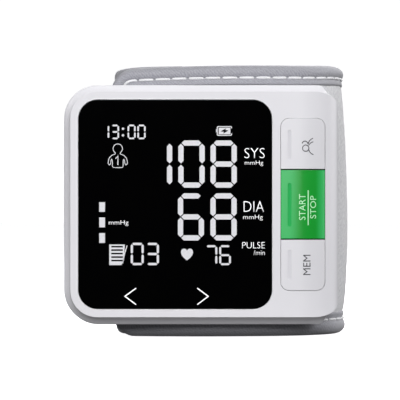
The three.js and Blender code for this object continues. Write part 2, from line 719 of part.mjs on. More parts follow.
// Rear case: flared walls, saddle for the cuff, screw pillars, USB opening, holes into the cuff
function addRearCase() {
  const caseY = seamY + seamGap;
  const bevel = {
    bevelEnabled: true, bevelSize: caseFlare, bevelThickness: flareDepth, bevelSegments: 2,
  };
  const rightEnd = wingSeamReach - seamGap;
  const outside = runBack(housingOutline(0), caseY + flareDepth, cuffDepth, bevel).intersect(caseRoom);
  const inside = runBack(housingOutline(caseFlare - sideWall), caseY + flareDepth, 2 * cuffDepth)
    .intersect(cavity);
  const throat = runBack(housingOutline(-sideWall), caseY - overrun, caseY + flareDepth + overrun)
    .intersect(cavity);
  const lip = cut(
    runBack(housingOutline(-sideWall - fitGap), caseY - lipHeight, caseY + flareDepth / 2),
    [
      runBack(housingOutline(-sideWall - fitGap - lipThickness), caseY - overrun, caseY + flareDepth),
      ...caseScrewSpots().map(({ x, z }) => (
        rod(screwBossRadius + fitGap, caseY - frontY, 'y', x, frontY, z))),
    ],
  ).intersect(box(
    -2 * cuffWidth, keyStripLeft - keyTabReach - 3 * fitGap, frontY, cuffDepth,
    -overrun, cuffHeight + overrun,
  ));
  const keep = box(-2 * cuffWidth, rightEnd, caseY, cuffDepth, -overrun, cuffHeight + overrun);
  const shell = cut(outside.intersect(keep), [inside, throat]);

  const pillars = caseScrewSpots().map(({ x, z }) => (
    rod(screwBossRadius, housingRise, 'y', x, caseY, z).intersect(caseRoom)));
  const screwHoles = caseScrewSpots().flatMap(({ x, z }) => [
    rod(screwRadius + screwHoleGap, cuffDepth, 'y', x, frontY, z),
    rod(screwHeadRadius + screwHoleGap, cuffDepth, 'y', x, frontY + caseScrewSeat, z),
  ]);
  const cuffScrewHoles = cuffScrews.map(({ x, z }) => (
    rod(screwRadius + screwHoleGap, cuffDepth / 2, 'y', x, seamY, z)));
  const nippleHole = rod(nippleRadius + nippleHoleGap, cuffDepth / 2, 'y', nippleX, seamY, nippleZ);
  const usbHole = box(
    usbPlace - usbWidth / 2 - fitGap, usbPlace + usbWidth / 2 + fitGap, boardBackY,
    boardBackY + 2 * fitGap + usbHeight, housingLow - caseFlare - overrun, housingLow + caseFlare + sideWall,
  );
  addPiece('rear_case', whiteShell, cut(
    join([shell, lip, ...pillars]),
    [...screwHoles, ...cuffScrewHoles, nippleHole, usbHole],
  ));
}

// Window, touch film, LCD, light guide and their frame, one behind the other
function addDisplay() {
  const plate = (width, height, radius, fromY, thickness, rise = 0, step = innerArcStep) => {
    const shape = centredShape(windowX, housingZ + rise, width, height, radius);
    return runBack(shape, fromY, fromY + thickness, {}, step);
  };
  addPiece('display_window', glossBlack, plate(
    windowWidth, windowHeight, windowRadius, frontY, windowThickness, 0, arcStep));
  const filmWidth = windowWidth - 2 * windowLedge - 2 * fitGap;
  const filmHeight = windowHeight - 2 * windowLedge - 2 * fitGap;
  addPiece('touch_film', clearGlass, plate(
    filmWidth, filmHeight, windowRadius - windowLedge, ledgeY + fitGap - windowGap, touchFilmThickness));
  addPiece('lcd_panel', clearGlass, plate(
    displayWidth, displayHeight, sideWall / 2, displayY, lcdThickness, displayRise));
  addPiece('light_guide', milkPlastic, plate(
    displayWidth, displayHeight, sideWall / 2, lightGuideY, lightGuideThickness, displayRise));
  const roomWidth = displayWidth + 2 * fitGap;
  const roomHeight = displayHeight + 2 * fitGap;
  const tray = plate(
    roomWidth + 2 * displayFrameWall, roomHeight + 2 * displayFrameWall, sideWall,
    displayY, frameFloorY + displayFrameFloor - displayY, displayRise,
  );
  const room = plate(
    roomWidth, roomHeight, sideWall / 2, displayY - overrun, frameFloorY - displayY + overrun, displayRise);
  addPiece('display_frame', blackPlastic, cut(tray, [room]));
}

// Keys: curved caps that follow the wing, with a skirt, a retaining tab and a post over each dome
function addKeys() {
  const halfMiddle = middleKeyHeight / 2;
  const halfStrip = keyStripHeight / 2;
  const keys = [
    { name: 'memory', low: -halfStrip, high: -halfMiddle - keyGap, slot: sideSlotLength, look: whiteShell },
    { name: 'start_stop', low: -halfMiddle, high: halfMiddle, slot: keySlotLength, look: greenKey },
    { name: 'user', low: halfMiddle + keyGap, high: halfStrip, slot: sideSlotLength, look: whiteShell },
  ];
  const strip = (margin) => runBack(roundedShape(
    keyStripLeft + margin, keyStripRight - margin, housingZ - halfStrip + margin,
    housingZ + halfStrip - margin, keyStripRadius - margin,
  ), frontY - overrun, keySkirtY);
  const capBackY = frontY + frontWall;
  keys.forEach(({ name, low, high, slot, look }) => {
    const lowZ = housingZ + low;
    const highZ = housingZ + high;
    const middleZ = (lowZ + highZ) / 2;
    const middleX = (keyStripLeft + keyStripRight) / 2;
    const rows = box(0, cuffWidth, frontY - overrun, keySkirtY, lowZ, highZ);
    const body = strip(0).intersect(rows).intersect(caseRoom);
    const pocket = strip(keySkirt)
      .intersect(box(0, cuffWidth, capBackY, keySkirtY + overrun, lowZ + keySkirt, highZ - keySkirt));
    const hollow = pocket.intersect(cavity);
    const postY = capBackY - fitGap;
    const post = rod(keyPostRadius, keySkirtY - postY, 'y', middleX, postY, middleZ);
    const tabY = capBackY + fitGap;
    const halfTab = (highZ - lowZ) * halfTabShare;
    const tab = box(
      keyStripLeft - keyTabReach, keyStripLeft + keySkirt, tabY, tabY + keyTabThickness,
      middleZ - halfTab, middleZ + halfTab,
    );
    const slotX = keyStripLeft + keySlotFromEdge + keySlotWidth / 2;
    const slotCut = runBack(
      centredShape(slotX, middleZ, keySlotWidth, slot, keySlotWidth / 2 - smallTolerance),
      frontY - overrun, frontY + keySlotDepth,
    );
    addPiece(`key_${name}`, look, join([cut(body, [hollow, slotCut]), post, tab]));

    const dome = turned([
      [domeTopRadius - domeWall, domeWall], [0, domeWall], [0, 0], [domeTopRadius, 0],
      [domeRadius, domeHeight], [domeRadius - domeWall, domeHeight], [domeTopRadius - domeWall, domeWall],
    ], 'y', middleX, domeY, middleZ);
    addPiece(`key_dome_${name}`, paleSilicone, dome);
  });
  addPiece('key_board', boardGreen, box(
    keyStripLeft - keyBoardMargin, keyStripRight + keyBoardWing, keyBoardY, keyBoardY + keyBoardThickness,
    housingZ - halfStrip - keyBoardMargin, housingZ + halfStrip + keyBoardMargin,
  ));
}

// Main board behind the display frame, and the parts on its back
function addElectronics() {
  const left = bezelLeft + sideWall + boardMargin;
  const halfHeight = bezelHeight / 2 - sideWall - boardEndMargin;
  const board = box(left, boardRight, boardY, boardBackY, housingZ - halfHeight, housingZ + halfHeight);
  const notches = caseScrewSpots().map(({ x, z }) => (
    rod(screwBossRadius + fitGap, housingRise, 'y', x, frontY, z)));
  const outerCorners = caseScrewSpots().map(({ x, z }) => box(
    left - overrun, x, frontY, frontY + housingRise, Math.min(z, z + Math.sign(z - housingZ) * overrun),
    Math.max(z, z + Math.sign(z - housingZ) * overrun),
  ));
  addPiece('main_board', boardGreen, cut(board, [...notches, ...outerCorners]));

  const onBoard = boardBackY + fitGap;
  const chip = (place, size, thickness) => box(
    place[0] - size / 2, place[0] + size / 2, onBoard, onBoard + thickness,
    housingZ + place[1] - size / 2, housingZ + place[1] + size / 2,
  );
  addPiece('microcontroller', chipBlack, chip(chipPlace, chipSize, chipThickness));
  addPiece('display_driver', chipBlack, chip(driverPlace, driverSize, chipThickness));
  addPiece('battery_connector', milkPlastic, box(
    connectorPlace[0] - connectorWidth / 2, connectorPlace[0] + connectorWidth / 2, onBoard,
    onBoard + connectorDepth, housingZ + connectorPlace[1] - connectorHeight / 2,
    housingZ + connectorPlace[1] + connectorHeight / 2,
  ));
  const buzzerX = batteryLeft + batteryWidth + buzzerGap + buzzerRadius;
  addPiece('buzzer', chipBlack, rod(
    buzzerRadius, buzzerHeight, 'y', buzzerX, onBoard, housingZ + buzzerRise));

  const usbLow = housingLow - caseFlare + sideWall / 2;
  const usbY = onBoard + usbHeight / 2;
  const shellShape = (margin) => roundedShape(
    usbPlace - usbWidth / 2 + margin, usbPlace + usbWidth / 2 - margin, usbY - usbHeight / 2 + margin,
    usbY + usbHeight / 2 - margin, usbRadius - margin,
  );
  const tongue = box(
    usbPlace - usbTongue / 2, usbPlace + usbTongue / 2, usbY - usbWall, usbY + usbWall,
    usbLow + usbWall, usbLow + usbLength - usbWall,
  );
  addPiece('usb_socket', steel, join([
    cut(runUp(shellShape(0), usbLow, usbLow + usbLength, innerArcStep), [
      runUp(shellShape(usbWall), usbLow - overrun, usbLow + usbLength - usbWall * 2, innerArcStep),
    ]),
    tongue,
  ]));

  const cell = (fromY, toY, margin) => runBack(roundedShape(
    batteryLeft + margin, batteryLeft + batteryWidth - margin, housingZ - batteryHeight / 2 + margin,
    housingZ + batteryHeight / 2 - margin, batteryRadius,
  ), fromY, toY, {}, innerArcStep);
  const batteryBack = onBoard + batteryThickness;
  addPiece('battery', foilSilver, cell(onBoard, batteryBack, 0));
  const padY = batteryBack + fitGap;
  addPiece('battery_pad', blackPlastic, cell(padY, padY + padThickness, batteryWidth * padInsetShare));
}

// Pump, manifold and valve in a row along the wrist behind the keys, tubes to the sensor and the cuff
function addAirSystem() {
  const x = pumpCentreX;
  const y = airRowY;
  let z = housingZ - airRowStart;
  const motor = join([
    rod(pumpRadius, motorLength, 'z', x, y, z),
    rod(motorBossRadius, motorBossLength + pumpRadius, 'z', x, y, z - motorBossLength),
  ]);
  addPiece('pump_motor', steel, motor);
  z += motorLength + fitGap;
  const port = (axis, portX, portY, portZ) => (
    rod(portRadius, portLength + portRadius, axis, portX, portY, portZ));
  const head = join([
    rod(pumpRadius, pumpHeadLength, 'z', x, y, z),
    port('z', x, y, z + pumpHeadLength - portRadius),
  ]);
  addPiece('pump_head', blackPlastic, head);
  z += pumpHeadLength;
  const sleeve = (axis, length, tubeX, tubeY, tubeZ) => (
    tube(portRadius + fitGap + tubeWall, portRadius + fitGap, length, axis, tubeX, tubeY, tubeZ));
  addPiece('pump_tube', paleSilicone, sleeve('z', tubeRun, x, y, z + fitGap));
  z += tubeRun + 2 * fitGap;
  const half = manifoldSize / 2;
  const middleZ = z + half;
  const cuffLineZ = middleZ + cuffPortRise;
  const sensorLineZ = middleZ + sensorPortRise;
  const lineY = boardBackY + fitGap + sensorHeight / 2;
  addPiece('air_manifold', milkPlastic, join([
    box(x - half, x + half, y - manifoldDepth / 2, y + manifoldDepth / 2, z, z + manifoldSize),
    port('z', x, y, z - portLength),
    port('z', x, y, z + manifoldSize - portRadius),
    port('x', x - half - portLength, lineY, cuffLineZ),
    port('x', x - half - portLength, lineY, sensorLineZ),
  ]));
  z += manifoldSize;
  addPiece('valve_tube', paleSilicone, sleeve('z', tubeRun, x, y, z + fitGap));
  z += tubeRun + 2 * fitGap;
  addPiece('exhaust_valve', steel, join([
    rod(valveRadius, valveLength, 'z', x, y, z), port('z', x, y, z - portLength),
  ]));

  const manifoldLeft = x - half - fitGap;
  const sensorRight = sensorX + sensorSize / 2;
  addPiece('pressure_sensor', chipBlack, join([
    box(sensorX - sensorSize / 2, sensorRight, boardBackY + fitGap, boardBackY + fitGap + sensorHeight,
      sensorLineZ - sensorSize * portPlaceShare, sensorLineZ + sensorSize * (1 - portPlaceShare)),
    port('x', sensorRight - portRadius, lineY, sensorLineZ),
  ]));
  addPiece('sensor_tube', paleSilicone, sleeve(
    'x', manifoldLeft - sensorRight - fitGap, sensorRight + fitGap, lineY, sensorLineZ));

  const elbowRight = nippleX + nippleElbow / 2;
  const bladderY = ovalFrontY(nippleX) + bladderInset - fitGap;
  const nipple = join([
    rod(nippleRadius, bladderY - lineY, 'y', nippleX, lineY, nippleZ),
    box(nippleX - nippleElbow / 2, elbowRight, lineY - nippleElbowDepth / 2, lineY + nippleElbowDepth / 2,
      nippleZ - nippleElbow / 2, nippleZ + nippleElbow / 2),
    port('x', elbowRight - portRadius, lineY, nippleZ),
  ]);
  const bore = rod(nippleBore, bladderY - lineY + overrun, 'y', nippleX, lineY, nippleZ);
  addPiece('air_nipple', milkPlastic, cut(nipple, [bore]));
  addPiece('cuff_tube', paleSilicone, sleeve(
    'x', manifoldLeft - elbowRight - fitGap, elbowRight + fitGap, lineY, nippleZ));
}

// Screws: two close the case from behind, four hold the curler's bosses from inside the case
function screw(headRadius, shankLength, x, headY, z, towards) {
  const profile = [
    [0, 0], [headRadius, 0], [headRadius, screwHeadHeight], [screwRadius, screwHeadHeight],
    [screwRadius, screwHeadHeight + shankLength], [0, screwHeadHeight + shankLength],
  ];
  const points = profile.map(([radius, along]) => new THREE.Vector2(radius, along));
  const geometry = new THREE.LatheGeometry(points, roundSides);
  if (towards < 0) geometry.rotateX(Math.PI);
  geometry.translate(x, headY, z);
  return solid(geometry);
}

function addScrews() {
  caseScrewSpots().forEach(({ x, z }, index) => {
    const seatY = frontY + caseScrewSeat + screwHeadHeight + fitGap;
    const tipY = ledgeY + screwTipGap;
    addPiece(`case_screw_${index + 1}`, steel, screw(
      screwHeadRadius, seatY - screwHeadHeight - tipY, x, seatY, z, -1));
  });
  cuffScrews.forEach(({ x, z }, index) => {
    const wallY = saddleY(x) - rearWall;
    const headY = wallY - 3 * fitGap - screwHeadHeight;
    const tipY = -cuffDepth / 2 + curlerInset + curlerThickness;
    addPiece(`cuff_screw_${index + 1}`, steel, screw(
      cuffScrewHeadRadius, tipY - headY - screwHeadHeight, x, headY, z, 1));
  });
}

addFrontCover();
addRearCase();
addDisplay();
addKeys();
addElectronics();
addAirSystem();
addScrews();
addFrontStrap();
addWrap();
addTail();

// The part's origin is the middle of its footprint, the cover's crown left out, level with the cuff's lower edge
device.position.set(
  (caseFlare + bezelOverhang) / 2,
  housingRise / 2,
  0,
);

export default device;
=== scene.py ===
from contextlib import contextmanager
import json
import math
import bmesh
import bpy
import numpy as np
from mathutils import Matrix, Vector


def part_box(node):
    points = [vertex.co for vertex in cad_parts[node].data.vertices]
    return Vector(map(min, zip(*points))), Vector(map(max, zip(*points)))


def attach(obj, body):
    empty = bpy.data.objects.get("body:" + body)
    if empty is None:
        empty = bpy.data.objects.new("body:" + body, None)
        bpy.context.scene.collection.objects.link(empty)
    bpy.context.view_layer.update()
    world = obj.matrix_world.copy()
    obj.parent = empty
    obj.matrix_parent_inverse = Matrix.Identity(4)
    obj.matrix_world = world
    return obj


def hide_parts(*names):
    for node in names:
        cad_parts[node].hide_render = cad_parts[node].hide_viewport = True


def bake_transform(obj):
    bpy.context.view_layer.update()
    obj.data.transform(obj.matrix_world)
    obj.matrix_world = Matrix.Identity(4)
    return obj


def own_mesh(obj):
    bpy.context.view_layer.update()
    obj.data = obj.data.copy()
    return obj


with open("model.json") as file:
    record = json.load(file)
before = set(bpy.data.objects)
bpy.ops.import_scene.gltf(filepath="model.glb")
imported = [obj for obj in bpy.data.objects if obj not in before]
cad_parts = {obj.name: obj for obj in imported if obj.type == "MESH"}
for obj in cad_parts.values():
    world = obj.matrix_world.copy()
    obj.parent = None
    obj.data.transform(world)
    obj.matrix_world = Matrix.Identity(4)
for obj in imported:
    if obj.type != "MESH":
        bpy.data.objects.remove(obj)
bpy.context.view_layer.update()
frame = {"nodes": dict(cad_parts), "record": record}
mm = 0.001

# Camera: long lens, straight at the display, a little above the middle of the housing
camera = {"x": -1.95, "z": 37.6, "distance": 800, "lens": 264.9, "farEnd": 20}
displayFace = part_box("display_window")[0][1] / mm


def addCamera():
    lens = bpy.data.cameras.new("camera")
    lens.lens = camera["lens"]
    lens.clip_end = camera["farEnd"]
    stand = bpy.data.objects.new("camera", lens)
    stand.location = (camera["x"] * mm, (displayFace - camera["distance"]) * mm, camera["z"] * mm)
    stand.rotation_euler = (math.radians(90), 0, 0)
    bpy.context.collection.objects.link(stand)
    bpy.context.scene.camera = stand


addCamera()
print("camera placed")


# Materials: colours are sRGB codes, grains and bump depths are in mm
def linearColour(code):
    def channel(value):
        return value / 12.92 if value <= 0.04045 else ((value + 0.055) / 1.055) ** 2.4
    return (*[channel(int(code[i:i + 2], 16) / 255) for i in (0, 2, 4)], 1)


def addNode(material, kind, settings=None, links=None, output=0):
    tree = material.node_tree
    node = tree.nodes.new("ShaderNode" + kind)
    for name, value in (settings or {}).items():
        if isinstance(name, int) or name in node.inputs:
            node.inputs[name].default_value = value
        else:
            setattr(node, name, value)
    for name, source in (links or {}).items():
        tree.links.new(source, node.inputs[name])
    return node.outputs[output]


# Outputs of the coordinate node: moulded pieces use their own space, cloth its map
coordinate = {"map": 2, "object": 3}


# A new material, its shader, and the coordinates that its textures are laid by
def newMaterial(name, settings, space="object"):
    material = bpy.data.materials.new(name)
    material.use_nodes = True
    shader = material.node_tree.nodes["Principled BSDF"]
    for socket, value in settings.items():
        shader.inputs[socket].default_value = value
    return material, shader, addNode(material, "TexCoord", output=coordinate[space])


def addTexture(material, kind, place, grain, **settings):
    return addNode(material, "Tex" + kind, {"Scale": 1 / (grain * mm), **settings}, {"Vector": place})


def blendColours(material, low, high, factor):
    return addNode(material, "Mix", {"data_type": "RGBA", 6: linearColour(low), 7: linearColour(high)},
                   {0: factor}, 2)


# Joins a colour to the shader, to its glow if it has one, and a bump where there is a height
def dress(material, shader, tone, height=None, strength=0, depth=0):
    links = material.node_tree.links
    links.new(tone, shader.inputs["Base Color"])
    if shader.inputs["Emission Strength"].default_value > 0:
        links.new(tone, shader.inputs["Emission Color"])
    if height is not None:
        bump = addNode(material, "Bump", {"Strength": strength, "Distance": depth * mm}, {"Height": height})
        links.new(bump, shader.inputs["Normal"])
    return material


# Two colours mixed by a fine noise, which may also stand out as a bump
def plainFinish(name, colour, shade, grain, settings, detail=2.0, bump=None):
    material, shader, place = newMaterial(name, settings)
    noise = addTexture(material, "Noise", place, grain, Detail=detail)
    tone = blendColours(material, shade, colour, noise)
    return dress(material, shader, tone, noise, *bump) if bump else dress(material, shader, tone)


# Moulded ABS with a fine eroded finish: soft white with a broad sheen, a little uneven where it is held;
# a deep colour may get a painted highlight, paler towards the sides of the cap, standing in for reflections
# on its curve
def mouldedAbs(name, colour, shade, roughness=0.42, paintedHighlight=None, paintedHighlightAt=()):
    material, shader, place = newMaterial(name, {"Roughness": roughness, "IOR": 1.53})
    tone = blendColours(material, shade, colour, addTexture(material, "Noise", place, 14, Detail=2.0))
    # painted highlight: the colour turns paler across the given bands of x, towards the cap's sides
    if paintedHighlight:
        across = addNode(material, "SeparateXYZ", None, {0: place})
        sides = [addNode(material, "MapRange", {"interpolation_type": "SMOOTHSTEP", "From Min": start * mm,
                                                "From Max": end * mm}, {0: across}) for start, end in paintedHighlightAt]
        share = addNode(material, "Math", {"operation": "MAXIMUM"}, dict(enumerate(sides)))
        tone = addNode(material, "Mix", {"data_type": "RGBA", 7: linearColour(paintedHighlight)}, {0: share, 6: tone}, 2)
    return dress(material, shader, tone, addTexture(material, "Noise", place, 0.22, Detail=3.0), 0.12, 0.02)


shellWhite = mouldedAbs("mouldedAbsWhite", "E6E5EA", "E2E1E6")
keyWhite = mouldedAbs("mouldedAbsKeyWhite", "E3E2E7", "DFDEE3", 0.38)
# polished, and brighter white than the shell: a painted highlight for the bead round the window
rimPaintedHighlight = mouldedAbs("polishedAbsPaintedHighlightWhite", "F6F6F9", "F2F2F6", 0.2)
# the green cap's sides are painted paler: a painted highlight for the reflections on its curved face
keyGreen = mouldedAbs("mouldedAbsKeyGreen", "13A031", "109B2D", 0.24, "34BC62", ((26, 22), (29.2, 31.6)))

# Hard-coated acrylic printed black from behind: deep, even black with sharp reflections
windowBlack = plainFinish("printedAcrylicBlack", "020202", "000001", 6,
                          {"Roughness": 0.05, "IOR": 1.49, "Specular IOR Level": 0.12})

# Lit segments of a reversed LCD: even, slightly grainy white light, brighter in its fine words
segmentLight = plainFinish("litSegmentWhite", "D6D6DA", "C4C4C8", 0.5,
                           {"Roughness": 0.4, "Emission Strength": 0.22})
wordLight = plainFinish("litWordWhite", "FBFBFD", "F2F2F5", 0.5, {"Roughness": 0.4, "Emission Strength": 0.4})

# Pad printing ink: thin matt ink that takes a little of the grain under it
inkGrey = plainFinish("padPrintGrey", "57565C", "4D4C52", 0.3, {"Roughness": 0.55})
inkPale = plainFinish("padPrintPaleGreen", "C4FACE", "B4F2C0", 0.3, {"Roughness": 0.55})


# Brushed loop velour: short polyamide loops, tufted and mottled, with a pale sheen at its edges
def loopVelour():
    material, shader, place = newMaterial(
        "loopVelourWhite", {"Roughness": 0.92, "Sheen Weight": 0.12, "Sheen Roughness": 0.5}, "map")
    brushed = addNode(material, "Mapping", {"vector_type": "TEXTURE", "Rotation": (0, 0, math.radians(-50)),
                                            "Scale": (1.5, 0.8, 1)}, {"Vector": place})
    tufts = addTexture(material, "Noise", brushed, 0.9, Detail=4.0, Roughness=0.7)
    loops = addTexture(material, "Voronoi", place, 0.45)
    height = addNode(material, "Math", {"operation": "MULTIPLY_ADD", 1: 0.35}, {0: loops, 2: tufts})
    return dress(material, shader, blendColours(material, "A6A6AF", "FFFFFF", tufts), height, 0.55, 0.35)


# A wave texture whose bands are about as wide as is said, in mm
def addWave(material, place, band, settings=None, share=2 / 6.283):
    return addNode(material, "TexWave", {"Scale": share / (band * mm), **(settings or {})}, {"Vector": place})


# Woven polyamide tape: fine twill ribs along the tape, grey, with a dull sheen on its rolled edge
def wovenTape():
    material, shader, place = newMaterial("wovenTapeGrey", {"Roughness": 0.75, "Sheen Weight": 0.25}, "map")
    turned = addNode(material, "Mapping", {"Rotation": (0, 0, math.radians(52))}, {"Vector": place})
    # twill of 0.3 mm drawn at 0.6 mm, so that it shows
    ribs = addWave(material, turned, 0.6, {"Distortion": 6.0, "Detail Scale": 2.0}, 0.314)
    yarn = addTexture(material, "Noise", place, 0.5, Detail=3.0)
    tone = blendColours(material, "A6A6AE", "B5B5BD", ribs)
    uneven = addNode(material, "Mix", {"data_type": "RGBA", "blend_type": "MULTIPLY", 0: 0.4},
                     {6: tone, 7: yarn}, 2)
    return dress(material, shader, uneven, ribs, 0.2, 0.04)


# Warp-knitted polyester lining: rows of small stitches, soft grey
def knitLining():
    material, shader, place = newMaterial("warpKnitGrey", {"Roughness": 0.85, "Sheen Weight": 0.2}, "map")
    # stitches of 0.5 mm drawn at 0.8 mm, so that they show
    wales = addWave(material, place, 0.8, {"Distortion": 1.5, "bands_direction": "X"})
    courses = addWave(material, place, 0.6, {"Distortion": 2.0, "bands_direction": "Y"})
    knit = addNode(material, "Math", {"operation": "MULTIPLY"}, {0: wales, 1: courses})
    return dress(material, shader, blendColours(material, "8C8C92", "B2B2B8", knit), knit, 0.5, 0.2)


# Twisted polyester sewing thread: bright white, its plies catching the light in short slants
def sewingThread():
    material, shader, place = newMaterial("twistedThreadWhite", {"Roughness": 0.6}, "map")
    turned = addNode(material, "Mapping", {"Rotation": (0, 0, math.radians(30))}, {"Vector": place})
    plies = addWave(material, turned, 0.5)
    return dress(material, shader, blendColours(material, "E4E4E8", "FCFCFD", plies), plies, 0.4, 0.05)


# Hook tape: dark polyamide, the woven ground that its hooks stand in
def hookTape():
    material, shader, place = newMaterial("hookTapeGrey", {"Roughness": 0.6})
    ground = addTexture(material, "Voronoi", place, 0.9)
    return dress(material, shader, blendColours(material, "2C2C2F", "55555A", ground), ground, 0.6, 0.2)


velourWhite = loopVelour()
tapeGrey = wovenTape()
liningGrey = knitLining()
threadWhite = sewingThread()
hookGrey = hookTape()


# Finishes of what is inside: a base colour with a fine grain of its own size
def innerFinish(name, colour, shade, grain, roughness, metallic=0, depth=0.02):
    return plainFinish(name, colour, shade, grain, {"Roughness": roughness, "Metallic": metallic}, 4.0,
                       (0.4, depth))


innerFinishes = {
    "clear_film": innerFinish("hardCoatFilm", "C4CACE", "B6BCC0", 3, 0.08),
    "display_glass": innerFinish("displayGlass", "A2ABAF", "8F989C", 5, 0.06),
    "milky_plastic": innerFinish("mouldedPolypropylene", "EFEFE8", "E4E4DC", 2, 0.45),
    "black_plastic": innerFinish("mouldedPolycarbonateBlack", "242427", "1A1A1C", 1, 0.5),
    "silicone": innerFinish("mouldedSilicone", "D8D8D2", "CCCCC4", 0.8, 0.6),
    "circuit_board": innerFinish("solderResistGreen", "1C6B3B", "155A30", 1.5, 0.35),
    "chip_black": innerFinish("mouldedEpoxyBlack", "1B1B1D", "232326", 0.3, 0.55),
    "steel": innerFinish("rolledSteel", "C6C8CC", "A9ABB0", 0.6, 0.3, 1),
    "battery_foil": innerFinish("laminateFoil", "BDC0C4", "A6A9AE", 2, 0.3, 1),
    "foam_pad": innerFinish("closedCellFoam", "242427", "101012", 0.4, 0.9, 0, 0.1),
    "bladder_grey": innerFinish("calenderedPolyurethane", "77787D", "6B6C71", 1.2, 0.5),
    "hook_tape": hookGrey,
}
for part in frame["record"]["subparts"]:
    slotName = part["material_slot"]
    if slotName in innerFinishes:
        node = frame["nodes"][part["node"]]
        node.data.materials.clear()
        node.data.materials.append(innerFinishes[slotName])
print("materials made")


# Small jobs that every piece needs; points closer than the merge distance become one
mergeDistance = 0.002
nudge = 0.01


def selectOnly(piece):
    bpy.ops.object.select_all(action="DESELECT")
    piece.select_set(True)
    bpy.context.view_layer.objects.active = piece


# Edit mode on one piece, as a rule with everything in it selected
@contextmanager
def editing(piece, everything=True):
    selectOnly(piece)
    bpy.ops.object.mode_set(mode="EDIT")
    if everything:
        bpy.ops.mesh.select_all(action="SELECT")
    yield
    bpy.ops.object.mode_set(mode="OBJECT")


def applyTransform(piece):
    selectOnly(piece)
    bpy.ops.object.transform_apply()
    return piece


def addModifier(piece, kind, **settings):
    selectOnly(piece)
    modifier = piece.modifiers.new(kind.lower(), kind)
    for name, value in settings.items():
        setattr(modifier, name, value)
    bpy.ops.object.modifier_apply(modifier=modifier.name)


def softenEdges(piece, width, segments, angle=50):
    addModifier(piece, "BEVEL", width=width * mm, segments=segments, limit_method="ANGLE",
                angle_limit=math.radians(angle))


def cutWith(piece, cutter, operation="DIFFERENCE"):
    addModifier(piece, "BOOLEAN", operation=operation, object=cutter, solver="EXACT")
    bpy.data.objects.remove(cutter, do_unlink=True)


def smoothShade(piece, angle=35, flats=False):
    selectOnly(piece)
    bpy.ops.object.shade_smooth_by_angle(angle=math.radians(angle))
    if flats:
        addModifier(piece, "WEIGHTED_NORMAL", weight=50, keep_sharp=True)


def finishPiece(piece, name, material, body=None, nodes=()):
    piece.name = name
    piece.data.name = name
    piece.data.materials.clear()
    piece.data.materials.append(material)
    if nodes:
        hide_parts(*nodes)
    if body:
        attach(piece, body)
    return piece


def unit(vector):
    return vector / np.linalg.norm(vector)


def joinPieces(pieces):
    selectOnly(pieces[0])
    for piece in pieces[1:]:
        piece.select_set(True)
    bpy.ops.object.join()
    return pieces[0]


def readPlaces(piece):
    places = np.empty(3 * len(piece.data.vertices))
    piece.data.vertices.foreach_get("co", places)
    return places.reshape(-1, 3)


def writePlaces(piece, places):
    piece.data.vertices.foreach_set("co", places.ravel())
    piece.data.update()


def mergeDoubles(piece):
    with editing(piece):
        bpy.ops.mesh.remove_doubles(threshold=mergeDistance * mm)


def turnOutwards(piece):
    mergeDoubles(piece)
    with editing(piece):
        bpy.ops.mesh.normals_make_consistent(inside=False)


def faceCamera(piece):
    if piece.data.polygons[0].normal.y > 0:
        piece.data.flip_normals()
    return piece


# An area is (left, right, low, high)
def grown(area, gap):
    left, right, low, high = area
    return left - gap, right + gap, low - gap, high + gap


# A flat plate facing the camera; corners: upper right, upper left, lower left, lower right
def roundedPlate(area, y, corners, arcPoints=12):
    left, right, low, high = area
    bpy.ops.mesh.primitive_circle_add(vertices=4 * arcPoints, radius=mm, fill_type="NGON")
    plate = bpy.context.object
    sideX = (right, left, left, right)
    sideZ = (high, high, low, low)
    inX = (-1, 1, 1, -1)
    inZ = (-1, -1, 1, 1)
    for index, vertex in enumerate(plate.data.vertices):
        quarter, step = divmod(index, arcPoints)
        angle = math.radians(90 * (quarter + step / (arcPoints - 1)))
        radius = corners[quarter]
        radiusX, radiusZ = radius if isinstance(radius, tuple) else (radius, radius)
        x = sideX[quarter] + inX[quarter] * radiusX + radiusX * math.cos(angle)
        z = sideZ[quarter] + inZ[quarter] * radiusZ + radiusZ * math.sin(angle)
        vertex.co = (x * mm, y * mm, z * mm)
    plate.data.update()
    return faceCamera(plate)


def prism(area, fromY, toY, corners, arcPoints=12):
    block = roundedPlate(area, fromY, corners, arcPoints)
    addModifier(block, "SOLIDIFY", thickness=(toY - fromY) * mm, offset=-1)
    return block


def addBox(low, high):
    low, high = np.array(low), np.array(high)
    bpy.ops.mesh.primitive_cube_add(size=mm, location=(low + high) / 2 * mm, scale=high - low)
    return applyTransform(bpy.context.object)


# A round rod along Y
def addRod(radius, x, z, fromY, toY, vertices):
    bpy.ops.mesh.primitive_cylinder_add(
        vertices=vertices, radius=radius * mm, depth=(toY - fromY) * mm, rotation=(math.radians(90), 0, 0),
        location=(x * mm, (fromY + toY) / 2 * mm, z * mm))
    return applyTransform(bpy.context.object)


# Insets the selected faces in steps, from a list of (inset, lift) places
def insetSelected(places):
    for before, after in zip(places, places[1:]):
        bpy.ops.mesh.inset(thickness=(after[0] - before[0]) * mm, depth=(after[1] - before[1]) * mm)


def insetSteps(piece, places):
    with editing(piece):
        bpy.ops.mesh.select_mode(type="FACE")
        insetSelected(places)


def roundedEdge(radius, steps):
    angles = [math.radians(90 * i / steps) for i in range(steps + 1)]
    return [(radius * (1 - math.cos(a)), radius * math.sin(a)) for a in angles]


def selectBoundary(piece, test=lambda place: True):
    bpy.ops.mesh.select_mode(type="EDGE")
    bpy.ops.mesh.select_all(action="DESELECT")
    net = bmesh.from_edit_mesh(piece.data)
    for edge in net.edges:
        if edge.is_boundary and all(test(v.co / mm) for v in edge.verts):
            edge.select_set(True)
    bmesh.update_edit_mesh(piece.data)


def closeBoundary(piece):
    with editing(piece):
        selectBoundary(piece)
        bpy.ops.mesh.edge_face_add()
    turnOutwards(piece)


def extrudeBoundary(piece, depth, test=lambda place: True):
    with editing(piece):
        selectBoundary(piece, test)
        bpy.ops.mesh.extrude_edges_move(TRANSFORM_OT_translate={"value": (0, depth * mm, 0)})


